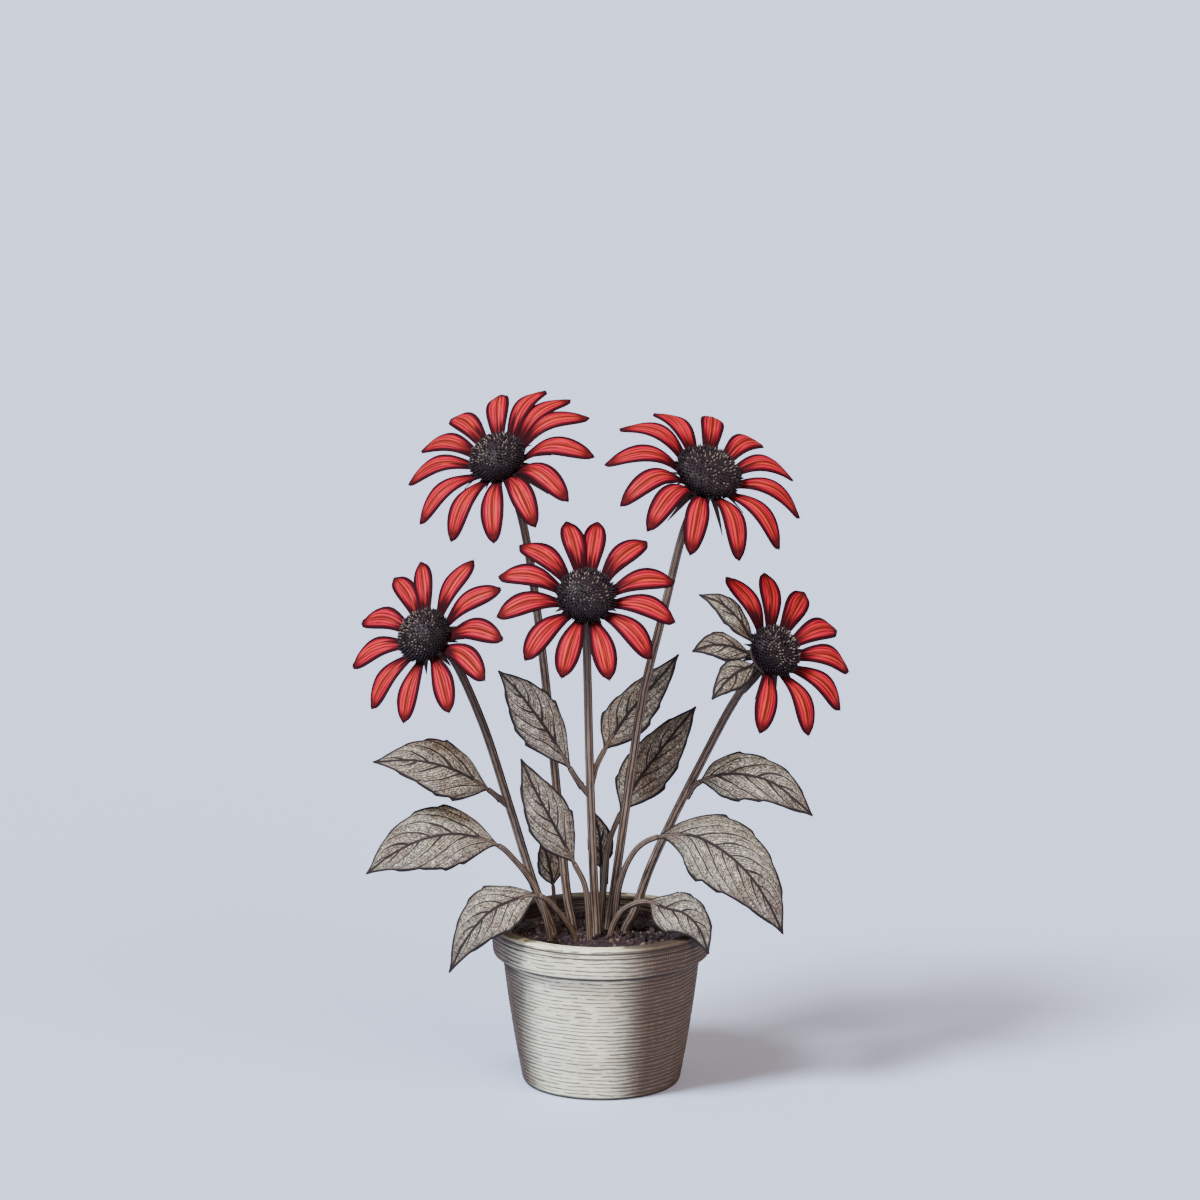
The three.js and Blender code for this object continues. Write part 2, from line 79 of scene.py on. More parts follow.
STEM_FOOT_RADIUS = 3.2
STEM_NECK_RADIUS = 2.7
STALK_RADIUS = 2.3
STALK_END_RADIUS = 2
SMALL_STALK = 0.7

LEAF_THICKNESS = 0.55
LEAF_FOLD = 0.35
LEAF_DROOP = 1.35
LEAF_WAVE = 1.2
LEAF_END = 0.7

PETAL_ROOT = 14
PETAL_WIDTH = 17
PETAL_TIP_WIDTH = 5.4
PETAL_THICKNESS = 0.5
PETAL_CUP = 1.2
PETAL_POINT = 0.8

CONE_HEIGHT = 19
CONE_FLARE = 0.66
CONE_BOSS = 12.2
RING_INNER = 13
RING_OUTER = 15.2
RING_THICKNESS = 1.4
CUP_RADIUS = 15
CUP_DEPTH = 14
SEPAL_LENGTH = 20
SEPAL_WIDTH = 4

print("the pot is", 2 * RIM_RADIUS, "mm across and", POT_HEIGHT, "mm high")

# %% [markdown]
# No two blooms face the same way, and each has its own gaps between petals. So each one
# has a row of facts: where the middle of its petal ring is, how far up and round it
# looks, how far its petals reach, and the clock angle of every petal and sepal. The
# stem is a list of points that it passes between the soil and the bloom.

# %% The five blooms
BLOOMS = {
    "top_left": {
        "centre": (-68, 21, 424), "elevation": 50, "azimuth": -32, "cone": 20.2,
        "reach": 68, "arch": 10, "bow": 4, "droop": 3, "sepal_share": 1.35,
        "petals": [-28, 1, 21, 43, 76, 109, 134, 160, 186, 216, 247, 274, 300],
        "sepals": [1, 36, 66, 100, 142, 173, 215, 252, 283, 310, 335],
        "stem": [(-19, 0), (-23, 1, 127), (-28, 5, 177), (-34, 11, 239), (-41, 18, 303),
                 (-49, 26, 361), (-55, 31, 389)],
        "leaves": [],
    },
    "top_right": {
        "centre": (70, 23, 412), "elevation": 53, "azimuth": 30, "cone": 23.5,
        "reach": 70, "arch": 11.5, "bow": 5, "droop": 5, "sepal_share": 1.35,
        "petals": [-33, -3, 31, 65, 93, 123, 154, 183, 213, 239, 263, 294],
        "sepals": [-2, 28, 56, 84, 118, 172, 205, 243, 270, 300, 327],
        "stem": [(5, 4), (9, 4, 135), (18, 6, 199), (28, 9, 266), (42, 18, 323), (56, 30, 377)],
        "leaves": [],
    },
    "left": {
        "centre": (-116, -12, 311), "elevation": 33, "azimuth": -37, "cone": 19.5,
        "reach": 61.5, "arch": 5, "bow": 5.5, "droop": 1,
        "petals": [-30, 11, 45, 81, 111, 142, 176, 208, 242, 275, 309],
        "sepals": [12, 42, 70, 102, 127, 180, 211, 247, 282, 315, 340], "sepal_share": 0.6,
        "stem": [(-33, -8), (-45, -8, 137), (-61, -4, 189), (-81, 2, 251), (-101, 2, 295)],
        "leaves": [
            {"stalk": [(-62, -3, 192), (-69, -7, 199)], "width": 42,
             "rib": [(-76, -11, 206), (-100, -26, 224), (-125, -34, 232), (-153, -38, 232)]},
        ],
    },
    "centre": {
        "centre": (-10, -46, 345), "elevation": 41, "azimuth": 2, "cone": 20.2,
        "reach": 61.5, "arch": 7.5, "bow": 4, "droop": 1,
        "petals": [-12, 10, 43, 78, 106, 136, 167, 195, 223, 257, 287, 315],
        "sepals": [-12, 15, 40, 68, 98, 128, 166, 196, 232, 262, 292, 320], "sepal_share": 0.55,
        "stem": [(-3, -12), (-5, -11, 140), (-8, -11, 225), (-9, -14, 270), (-10, -24, 316)],
        "leaves": [
            {"stalk": [(-8, -10, 202), (-15, -15, 212)], "width": 35,
             "rib": [(-21, -19, 223), (-35, -27, 249), (-46, -31, 266), (-57, -33, 281),
                     (-69, -34, 294)]},
            {"stalk": [(-7, -10, 208), (-4, -4, 219)], "width": 31,
             "rib": [(2, 7, 229), (10, 20, 239), (19, 33, 249), (30, 46, 259), (42, 57, 270),
                     (53, 66, 282)]},
        ],
    },
    "right": {
        "centre": (114, -16, 301), "elevation": 34, "azimuth": 36, "cone": 18.5,
        "reach": 61.5, "arch": 9, "bow": 3.5, "droop": 1,
        "petals": [-10, 17, 49, 80, 109, 140, 174, 212],
        "sepals": [-10, 20, 45, 72, 100, 132, 178, 210, 227],
        "stem": [(16, -4), (22, -4, 118), (33, -4, 150), (48, -2, 183), (67, 1, 221),
                 (86, 2, 258), (96, 0, 275)],
        "leaves": [
            {"stalk": [(58, -1, 198), (62, -4, 206)], "width": 37,
             "rib": [(67, -8, 211), (79, -14, 217), (96, -21, 219), (115, -27, 215),
                     (130, -30, 204), (142, -31, 193)]},
        ],
        "bracts": [
            {"clock": -39, "reach": 64, "width": 19},
            {"clock": -80, "reach": 63, "width": 20},
            {"clock": -112, "reach": 65, "width": 20},
        ],
    },
}
print(sum(len(bloom["petals"]) for bloom in BLOOMS.values()), "petals in", len(BLOOMS), "blooms")

# %% [markdown]
# The leaves at the foot of the plant rise straight from the soil, each on its own
# stalk. A leaf is told by two runs of points: its bare stalk, and then its midrib.

# %% The leaves that rise from the soil
BASAL_LEAVES = {
    "left": {
        "stalk": [(-35, -20), (-44, -19, 139), (-60, -23, 162)], "width": 48,
        "rib": [(-69, -26, 171), (-95, -34, 181), (-118, -38, 179), (-140, -40, 169),
                (-158, -40, 155)],
    },
    "left_upright": {
        "stalk": [(-8, -23), (-11, -23, 142)], "width": 32,
        "rib": [(-18, -25, 158), (-28, -30, 179), (-37, -33, 197), (-46, -35, 215),
                (-54, -36, 234)],
    },
    "left_small": {
        "stalk": [(-30, 24), (-32, 25, 118)], "width": 16, "small": True,
        "rib": [(-33, 26, 129), (-36, 29, 145), (-41, 33, 161)],
    },
    "left_front": {
        "stalk": [(-18, -24), (-28, -31, 125)], "width": 37,
        "rib": [(-42, -40, 140), (-63, -50, 138), (-76, -56, 132), (-90, -60, 116),
                (-102, -60, 92)],
    },
    "right_upright": {
        "stalk": [(0, 15), (2, 17, 132), (5, 22, 159)], "width": 35,
        "rib": [(13, 29, 179), (24, 38, 198), (38, 49, 215), (52, 59, 231), (65, 67, 245)],
    },
    "right_small": {
        "stalk": [(-1, 27), (0, 27, 122)], "width": 17, "small": True,
        "rib": [(0, 27, 140), (-1, 29, 162), (-5, 31, 180)],
    },
    "right": {
        "stalk": [(9, -6), (12, -7, 138), (24, -15, 166)], "width": 53,
        "rib": [(38, -22, 176), (60, -33, 180), (76, -41, 175), (91, -47, 165),
                (103, -50, 152), (114, -51, 134), (122, -50, 116)],
    },
    "right_front": {
        "stalk": [(6, -17), (14, -21, 124)], "width": 33,
        "rib": [(31, -33, 134), (44, -40, 131), (56, -46, 129), (66, -49, 119),
                (72, -50, 102)],
    },
}
print(len(BASAL_LEAVES), "leaves rise from the soil")

# %% [markdown]
# ## Materials: one pen, six colour washes
#
# Ink lines run over every surface: veins on a leaf, streaks on a petal, thrown rings on
# the pot. They could be painted, but then they would blur close up. Here a shader
# counts along the surface and darkens it wherever the count passes a half.
#
# A small class keeps the shader code short: it adds a node, sets it up and links what
# feeds it in one call.

# %% A short way to write shaders
class Graph:
    """A node tree, with short calls that add a node and link what feeds it."""

    def __init__(self, tree):
        self.tree = tree

    def node(self, kind, feeds=None, **settings):
        made = self.tree.nodes.new("ShaderNode" + kind)
        for name, value in settings.items():
            setattr(made, name, value)
        for socket, value in (feeds or {}).items():
            if isinstance(value, bpy.types.NodeSocket):
                self.tree.links.new(value, made.inputs[socket])
            else:
                made.inputs[socket].default_value = value
        return made

    def math(self, operation, *values):
        return self.node("Math", dict(enumerate(values)), operation=operation).outputs[0]

    def times(self, *values):
        return self.math("MULTIPLY", *values)

    def less(self, whole, part):
        return self.math("SUBTRACT", whole, part)

    def size(self, value):
        return self.math("ABSOLUTE", value)

    def most(self, first, *rest):
        """The strongest of several layers at each point."""
        for layer in rest:
            first = self.math("MAXIMUM", first, layer)
        return first

    def ramp(self, value, low, high, start=0.0, end=1.0):
        feeds = {"Value": value, "From Min": low, "From Max": high, "To Min": start, "To Max": end}
        return self.node("MapRange", feeds, interpolation_type="SMOOTHSTEP").outputs["Result"]

    def mix(self, share, first, second):
        feeds = {0: share, 6: first, 7: second}
        return self.node("Mix", feeds, data_type="RGBA").outputs[2]

    def noise(self, place, scale, detail=2.0):
        feeds = {"Vector": place, "Scale": scale, "Detail": detail}
        return self.node("TexNoise", feeds).outputs["Fac"]

    def stretched(self, place, scale):
        """The same place with its height scaled, which makes a pattern taller or flatter."""
        return self.node("Mapping", {"Vector": place, "Scale": (1, 1, scale)}).outputs[0]

    def attribute(self, name):
        return self.node("Attribute", attribute_name=name).outputs["Fac"]


def colour(red, green, blue):
    """A colour given in the usual steps of 0 to 255, as Blender's own linear values."""
    def linear(step):
        level = step / 255
        return level / 12.92 if level <= 0.04045 else ((level + 0.055) / 1.055) ** 2.4
    return (linear(red), linear(green), linear(blue), 1)


print("a mid grey of 128 is", round(colour(128, 128, 128)[0], 3), "in linear light")

# %% [markdown]
# The pen itself is a node group, because every material uses it. Its count comes in as
# Lines, one for each ink line. Noise makes the line wander, swell and lift off the
# paper, as a hand-held pen does.
#
# Its partner is the rim group: it darkens what lies within a set distance of a margin
# or a midrib, from a distance that the mesh carries with it.

# %% The pen and the rim as node groups
def new_group(name, inputs, output):
    tree = bpy.data.node_groups.new(name, "ShaderNodeTree")
    for label, kind in inputs.items():
        tree.interface.new_socket(label, in_out="INPUT", socket_type="NodeSocket" + kind)
    tree.interface.new_socket(output, in_out="OUTPUT", socket_type="NodeSocketFloat")
    return Graph(tree), tree.nodes.new("NodeGroupInput").outputs


def close_group(graph, value, output):
    out = graph.tree.nodes.new("NodeGroupOutput")
    graph.tree.links.new(value, out.inputs[output])
    return graph.tree


def off_line(graph, count):
    """How far a count is from the nearest ink line, from 0 to 0.5."""
    return graph.size(graph.less(graph.math("FRACT", count), 0.5))


def pen_group():
    inputs = {"Lines": "Float", "Width": "Float", "Breaks": "Float", "Place": "Vector",
              "Grain": "Float"}
    graph, given = new_group("Pen lines", inputs, "Ink")
    wander = graph.noise(given["Place"], given["Grain"])
    count = graph.math("MULTIPLY_ADD", wander, 0.6, given["Lines"])
    swell = graph.noise(given["Place"], graph.times(given["Grain"], 2.7))
    width = graph.times(given["Width"], graph.math("ADD", swell, 0.15))
    line = graph.ramp(off_line(graph, count), graph.times(width, 0.45), width, 1.0, 0.0)
    lift = graph.noise(given["Place"], graph.times(given["Grain"], 1.6))
    kept = graph.ramp(lift, given["Breaks"], graph.math("ADD", given["Breaks"], 0.12))
    return close_group(graph, graph.times(line, kept), "Ink")


def rim_group():
    graph, given = new_group("Rim", {"Distance": "Float", "Width": "Float"}, "Shade")
    inner = graph.times(given["Width"], 0.55)
    return close_group(graph, graph.ramp(given["Distance"], inner, given["Width"], 1.0, 0.0), "Shade")


PEN = pen_group()
RIM = rim_group()


def pen(graph, lines, width, breaks, place, grain):
    feeds = {"Lines": lines, "Width": width, "Breaks": breaks, "Place": place, "Grain": grain}
    return graph.node("Group", feeds, node_tree=PEN).outputs["Ink"]


def rim(graph, distance, width):
    return graph.node("Group", {"Distance": distance, "Width": width}, node_tree=RIM).outputs[0]


print("node groups:", [tree.name for tree in (PEN, RIM)])

# %% [markdown]
# Each material has one Principled shader, and a function of its own that paints it. Most
# end the same way: ink is laid over a colour wash, and a bump follows it, because a pen
# line also sits in a fine groove. Ink is duller than the wash.

# %% What all the materials share
INK = colour(30, 24, 28)


def make_material(name, paint, gloss=0.1):
    """paint(graph) gives the tint, the relief's height and depth, and the roughness."""
    material = bpy.data.materials.new(name)
    material.use_nodes = True
    graph = Graph(material.node_tree)
    shader = material.node_tree.nodes["Principled BSDF"]
    shader.inputs["Specular IOR Level"].default_value = gloss
    tint, height, depth, roughness = paint(graph)
    bump = graph.node("Bump", {"Height": height, "Distance": depth * MM, "Strength": 0.7})
    graph.tree.links.new(tint, shader.inputs["Base Color"])
    graph.tree.links.new(bump.outputs["Normal"], shader.inputs["Normal"])
    graph.tree.links.new(roughness, shader.inputs["Roughness"])
    print("made", name)
    return material


def lay_ink(graph, ink, wash, tone, cover, depth, dull, grooves=None):
    """Covers a wash with ink of one tone, in grooves as deep as depth in millimetres."""
    tint = graph.mix(graph.times(ink, cover), wash, tone)
    height = graph.less(1.0, ink if grooves is None else grooves)
    return tint, height, depth, graph.ramp(ink, 0.0, 1.0, *dull)


def object_place(graph):
    return graph.node("TexCoord").outputs["Object"]


def blade_place(graph):
    """Across a blade or round a stem from 0 to 1, and along it from 0 to 1."""
    split = graph.node("SeparateXYZ", {0: graph.node("UVMap", uv_map="form").outputs[0]})
    return split.outputs["X"], split.outputs["Y"]


print("the ink is", [round(part, 3) for part in INK])

# %% [markdown]
# ** Leaf.** A coneflower leaf is grey-beige here, with a dark midrib, side veins that
# leave it in turn on either hand, and a dark line round the toothed margin. The side
# veins are counted along the leaf, less a share that grows towards the margin, which is
# what makes them slant and curve forward. Between them lie fine hatching, a net of tiny
# cells and flecks of ink. Shade is painted into the wash: it browns at the base and the
# tip, along the midrib and the margin, and beside each side vein.

# %% Leaf material
VEIN_LEAN = 0.34
VEIN_WIDTH = (0.21, 0.14)
MIDRIB_WIDTH = (2.0, 1.1)
LEAF_MARGIN = 2.7
LEAF_CELLS = 420.0


def hatched_leaf(graph):
    place = object_place(graph)
    across, along = blade_place(graph)
    to_rib, to_edge = graph.attribute("rib"), graph.attribute("edge")
    offset = graph.size(graph.math("MULTIPLY_ADD", across, 2, -1))
    side = graph.times(graph.math("GREATER_THAN", across, 0.5), 0.5)
    bend = graph.math("MULTIPLY_ADD", offset, 0.5 * VEIN_LEAN, 0.5 * VEIN_LEAN)
    path = graph.less(along, graph.times(bend, offset))
    count = graph.math("MULTIPLY_ADD", path, graph.attribute("veins"), side)
    veins = pen(graph, count, graph.ramp(offset, 0.0, 1.0, *VEIN_WIDTH), 0.0, place, 45.0)
    midrib = rim(graph, to_rib, graph.ramp(along, 0.1, 1.0, *MIDRIB_WIDTH))
    margin = rim(graph, to_edge, LEAF_MARGIN)
    hatch = pen(graph, graph.times(count, 5), 0.5, 0.36, place, 160.0)
    cells = graph.node("TexVoronoi", {"Vector": place, "Scale": LEAF_CELLS},
                       feature="DISTANCE_TO_EDGE")
    net = graph.ramp(cells.outputs["Distance"], 0.04, 0.16, 0.62, 0.0)
    flecks = graph.ramp(graph.noise(place, 800.0, 3.0), 0.48, 0.6, 0.0, 0.88)
    ink = graph.most(graph.times(graph.most(veins, midrib, margin), 0.97),
                     graph.times(hatch, 0.85), net, flecks)
    wash = graph.mix(graph.noise(place, 70.0), colour(168, 158, 140), colour(244, 236, 216))
    patches = graph.ramp(graph.noise(place, 38.0), 0.5, 0.66, 0.0, 0.5)
    wash = graph.mix(patches, wash, colour(168, 140, 118))
    # Painted shade: the wash browns beside the midrib and the margin, at the base and the tip, and
    # beside each side vein.
    hollow_shade = graph.most(rim(graph, to_rib, 6.0), rim(graph, to_edge, 5.0))
    painted_shade = graph.most(graph.times(hollow_shade, 0.3),
                      graph.ramp(along, 0.14, 0.4, 0.75, 0.0), graph.ramp(along, 0.9, 1.0, 0.0, 0.7),
                      graph.ramp(off_line(graph, count), 0.0, 0.3, 0.4, 0.0))
    wash = graph.mix(painted_shade, wash, colour(108, 88, 76))
    return lay_ink(graph, ink, wash, INK, 1.0, 0.25, (0.62, 0.85))


LEAF = make_material("hatched leaf", hatched_leaf)

# %% [markdown]
# ** Petal.** The petals are a strong red, more orange down the middle, with a dark root,
# painted shade under the cone that runs out in streaks, a broken line down the middle, a
# near-black line round the margin and a dark tip. The streaks follow the petal, so their
# noise reads a place that is counted across and along it, and not the place in the room.

# %% Petal material
PETAL_STREAKS = 3.5
PETAL_MARGIN = 3.4


def streaked_petal(graph):
    across, along = blade_place(graph)
    offset = graph.math("MULTIPLY_ADD", across, 2, -1)
    away = graph.size(offset)
    run = graph.node("CombineXYZ", {"X": graph.times(offset, 0.03), "Y": graph.times(along, 0.008),
                                    "Z": graph.attribute("tone")}).outputs[0]
    flame = graph.noise(run, 150.0, 3.0)
    warm = graph.times(graph.ramp(away, 0.1, 0.7, 1.0, 0.0), flame)
    red = graph.mix(graph.noise(run, 90.0), colour(166, 24, 44), colour(204, 34, 56))
    wash = graph.mix(graph.ramp(warm, 0.2, 0.6), red, colour(204, 62, 44))
    streaks = pen(graph, graph.times(offset, PETAL_STREAKS), 0.4, 0.34, run, 260.0)
    middle = graph.times(rim(graph, away, 0.16), graph.ramp(flame, 0.3, 0.45))
    # Painted shade under the cone: the root is dark up to the reach that the measure shade gives,
    # with streaky edges.
    bare = graph.less(along, graph.attribute("shade"))
    root = graph.ramp(graph.math("MULTIPLY_ADD", flame, -0.7, bare), -0.42, -0.2, 1.0, 0.0)
    tip = graph.ramp(along, 0.68, 0.85, 0.0, 0.9)
    margin = rim(graph, graph.attribute("edge"), PETAL_MARGIN)
    ink = graph.most(graph.times(streaks, 0.72), graph.times(middle, 0.8), root, tip, margin)
    return lay_ink(graph, ink, wash, colour(32, 10, 17), 0.97, 0.2, (0.45, 0.75))


PETAL = make_material("streaked petal", streaked_petal, 0.06)

# %% [markdown]
# ** Stem.** Stems and leaf stalks are grey-brown, with long pen strokes in the grooves
# between their ribs and a dark pen line down the left and the right side of each. They
# turn nearly black at the neck, as painted shade under the bloom. How dark a point is
# comes with the mesh, as the measure shade, so that the cup and the sepals, painted as
# the bloom's shade, can be the darkest.

# %% Stem material
STEM_RIBS = 7


def ribbed_stem(graph):
    across, _ = blade_place(graph)
    tall = graph.stretched(object_place(graph), 0.12)
    grooves = pen(graph, graph.times(across, STEM_RIBS), 0.52, 0.1, tall, 300.0)
    strokes = pen(graph, graph.times(across, 3 * STEM_RIBS), 0.5, 0.4, tall, 700.0)
    lines = graph.most(graph.times(grooves, 0.9), graph.times(strokes, 0.6))
    wash = graph.mix(graph.noise(tall, 260.0), colour(108, 88, 76), colour(172, 152, 134))
    facing = graph.size(graph.math("SINE", graph.times(across, 2 * math.pi)))
    sides = graph.ramp(facing, 0.5, 0.75, 0.8, 0.0)
    ink = graph.most(lines, sides, graph.attribute("shade"))
    return lay_ink(graph, ink, wash, INK, 0.95, 0.2, (0.6, 0.8), grooves=lines)


STEM = make_material("ribbed stem", ribbed_stem)

# %% [markdown]
# ** Cone.** The florets are nearly black with a hint of plum. The tips of many carry
# painted highlights as pale specks, most of them near the top of the dome.

# %% Cone material
def spiny_cone(graph):
    place = object_place(graph)
    wash = graph.mix(graph.noise(place, 500.0), colour(18, 13, 17), colour(48, 36, 42))
    # Painted highlight: pale floret tips where the measure tone is high.
    glint = graph.ramp(graph.attribute("tone"), 0.2, 0.85)
    tint = graph.mix(glint, wash, colour(134, 120, 108))
    return tint, graph.noise(place, 900.0), 0.15, graph.ramp(glint, 0.0, 1.0, 0.6, 0.4)


CONE = make_material("spiny cone", spiny_cone, 0.15)

# %% [markdown]
# ** Pot.** Cream clay with fine level lines all round. They break off and start again,
# so the wall stays light between them. Light and shade are painted round the pot: it is
# lightest on two opposite faces, as a painted highlight. In between lies painted shade:
# the clay is brown, the lines crowd together and upright strokes cross them. A dark line
# runs under the lip, under the rim band and round the foot, and the inner wall is painted
# dark brown above the soil, as shade.

# %% Pot material
LINE_SPACING = 2.7
UPRIGHT_STROKES = 40
# The turn of the painted highlight, in degrees; a second one lies opposite.
LIGHT_FACE = -110
INNER_SHADE_RADIUS = 67.5
INNER_SHADE_HEIGHT = SOIL_EDGE - 7
RING_LINES = ((POT_HEIGHT - 3.6, 0.9), (POT_HEIGHT - 7, 0.6),
              (POT_HEIGHT - RIM_HEIGHT - 0.6, 2.2), (0.6, 2))


def level_line(graph, height, place, width):
    return rim(graph, graph.size(graph.less(height, place * MM)), width * MM)


# Painted shade on the inner wall above the soil.
def painted_inner_shade(graph, split):
    around = graph.node("VectorMath", {0: graph.node("CombineXYZ", {
        "X": split["X"], "Y": split["Y"]}).outputs[0]}, operation="LENGTH").outputs["Value"]
    inside = graph.ramp(around, (INNER_SHADE_RADIUS - 1) * MM, INNER_SHADE_RADIUS * MM, 1.0, 0.0)
    above = graph.ramp(split["Z"], INNER_SHADE_HEIGHT * MM, (INNER_SHADE_HEIGHT + 2) * MM)
    return graph.times(graph.times(inside, above), 0.85)


def thrown_clay(graph):
    place = object_place(graph)
    split = graph.node("SeparateXYZ", {0: place}).outputs
    # Painted light and shade by turn round the pot: nought at the two painted highlights and one
    # between them, where the wash browns, the rings widen and break less, and fine rings and upright
    # strokes crowd in.
    turn = graph.math("ARCTAN2", split["Y"], split["X"])
    twice = graph.math("MULTIPLY_ADD", turn, 2, -2 * math.radians(LIGHT_FACE))
    painted_shade = graph.ramp(graph.math("COSINE", twice), -0.25, 0.98, 1.0, 0.0)
    flat, tall = graph.stretched(place, 4), graph.stretched(place, 0.3)
    level = graph.math("DIVIDE", split["Z"], LINE_SPACING * MM)
    drift = graph.math("MULTIPLY_ADD", graph.noise(flat, 26.0), 1.2, level)
    breaks = graph.ramp(painted_shade, 0.0, 1.0, 0.37, 0.14)
    rings = pen(graph, drift, graph.ramp(painted_shade, 0.0, 1.0, 0.34, 0.56), breaks, flat, 55.0)
    fine = pen(graph, graph.times(drift, 2.3), 0.5, breaks, flat, 130.0)
    strokes = pen(graph, graph.times(turn, UPRIGHT_STROKES), 0.5, 0.34, tall, 120.0)
    ink = graph.most(graph.times(rings, 0.85),
                     graph.times(fine, graph.ramp(painted_shade, 0.0, 1.0, 0.2, 0.7)),
                     graph.times(strokes, graph.ramp(painted_shade, 0.25, 1.0, 0.0, 0.7)),
                     *(level_line(graph, split["Z"], line, width) for line, width in RING_LINES))
    wash = graph.mix(graph.noise(place, 30.0), colour(216, 210, 178), colour(250, 248, 220))
    # Painted shade: the clay browns between the painted highlights.
    wash = graph.mix(graph.times(painted_shade, 0.95), wash, colour(100, 80, 66))
    # The inner wall above the soil is darkened as painted shade.
    wash = graph.mix(painted_inner_shade(graph, split), wash, colour(60, 44, 44))
    return lay_ink(graph, ink, wash, colour(44, 36, 36), 0.92, 0.25, (0.5, 0.8))


POT = make_material("thrown clay", thrown_clay)

# %% [markdown]
# **Soil.** Bark compost: nearly black with a hint of plum, and crumbs of several shades.

# %% Soil material
def bark_compost(graph):
    place = object_place(graph)
    wash = graph.mix(graph.noise(place, 350.0, 4.0), colour(24, 18, 24), colour(64, 52, 56))
    tint = graph.mix(graph.times(graph.attribute("tone"), 0.75), wash, colour(126, 106, 96))
    rough = graph.ramp(graph.noise(place, 400.0), 0.3, 0.7, 0.8, 0.98)
    return tint, graph.noise(place, 1200.0, 4.0), 0.4, rough


SOIL = make_material("bark compost", bark_compost)

# %% [markdown]
# ## Modelling helpers
#
# A bmesh is Blender's workbench for a mesh. Every piece here carries a UV map named
# form and a few measured values on its points: the distance to the margin and to the
# midrib in millimetres, the number of veins, a tone and a shade. They have to exist on
# the workbench before the first face does. The layer named twin is only for blades: it
# tells which upper point each lower point was made from, and is removed at the end.

# %% A workbench with its measures
MEASURES = ("edge", "rib", "veins", "tone", "shade")


class Bench:
    """A bmesh in millimetres, with the UV map and the measures that the materials read."""

    def __init__(self):
        self.mesh = bmesh.new()
        self.mesh.loops.layers.uv.new("form")
        self.measures = {name: self.mesh.verts.layers.float.new(name) for name in MEASURES}
        self.twin = self.mesh.verts.layers.int.new("twin")

    def measure(self, vert, **values):
        for name, value in values.items():
            vert[self.measures[name]] = value

    def measure_all(self, verts, **values):
        for vert in verts:
            self.measure(vert, **values)

    def place(self, verts, matrix):
        bmesh.ops.transform(self.mesh, matrix=matrix, verts=verts)


def add_object(name, data):
    added = bpy.data.objects.new(name, data)
    bpy.context.scene.collection.objects.link(added)
    return added


def make_piece(name, bench, materials, slot, *nodes):
    """Turns the bench into an object in metres that stands for the CAD nodes named."""
    bench.place(bench.mesh.verts, Matrix.Scale(MM, 4))
    bench.mesh.verts.layers.int.remove(bench.twin)
    data = bpy.data.meshes.new(name)
    bench.mesh.to_mesh(data)
    bench.mesh.free()
    for material in materials:
        data.materials.append(material)
    data.polygons.foreach_set("use_smooth", [True] * len(data.polygons))
    piece = add_object(name, data)
    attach(piece, "root")
    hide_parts(*nodes)
    triangles = sum(len(face.vertices) - 2 for face in data.polygons)
    print(f"{name}: {triangles} triangles")


print("each bench carries", ", ".join(MEASURES))

# %% [markdown]
# Stems and midribs follow a curve through a few points. The centripetal Catmull-Rom
# curve is the one that never loops or overshoots between points that are unevenly
# spaced, and the measured model was made with it, so the pieces land in their places.

# %% The curve that stems and midribs follow
class Curve:
    """A centripetal Catmull-Rom curve. t runs from 0 at its first point to 1 at its last."""

    STEP = 0.0001
    PARTS = 40

    def __init__(self, points):
        inner = [Vector(point) for point in points]
        self.spans = len(inner) - 1
        before = 2 * inner[0] - inner[1]
        after = 2 * inner[-1] - inner[-2]
        self.points = [before, *inner, after]

    def point(self, t):
        place = self.spans * min(max(t, 0), 1)
        span = min(int(place), self.spans - 1)
        x0, x1, x2, x3 = self.points[span:span + 4]
        d0, d1, d2 = (math.sqrt((b - a).length) for a, b in ((x0, x1), (x1, x2), (x2, x3)))
        start = ((x1 - x0) / d0 - (x2 - x0) / (d0 + d1) + (x2 - x1) / d1) * d1
        end = ((x2 - x1) / d1 - (x3 - x1) / (d1 + d2) + (x3 - x2) / d2) * d1
        w = place - span
        square = -3 * x1 + 3 * x2 - 2 * start - end
        cube = 2 * x1 - 2 * x2 + start + end
        return x1 + w * (start + w * (square + w * cube))

    def frame(self, t, facing):
        """The point at t, and the sideways and upward directions there."""
        low, high = max(t - self.STEP, 0), min(t + self.STEP, 1)
        tangent = (self.point(high) - self.point(low)).normalized()
        side = tangent.cross(facing).normalized()
        return self.point(t), side, side.cross(tangent)

    def length(self, start=0.0):
        ends = [self.point(start + (1 - start) * i / self.PARTS) for i in range(self.PARTS + 1)]
        return sum((b - a).length for a, b in zip(ends, ends[1:]))


print("a test curve is", round(Curve([(0, 0, 0), (0, 0, 50), (0, 30, 90)]).length(), 1), "mm long")

# %% [markdown]
# Blades, stems, florets and the pot come from three Blender operators. A blade starts
# as a flat grid that is bent into place and given its thickness by solidify. A stem is a
# grid rolled up and welded at its seam. A pot is a profile turned round its axis by spin.

# %% Blades, tubes and turned shapes
VIEWER = Vector((0, -1, 0))


def lerp(low, high, share):
    return low + (high - low) * share


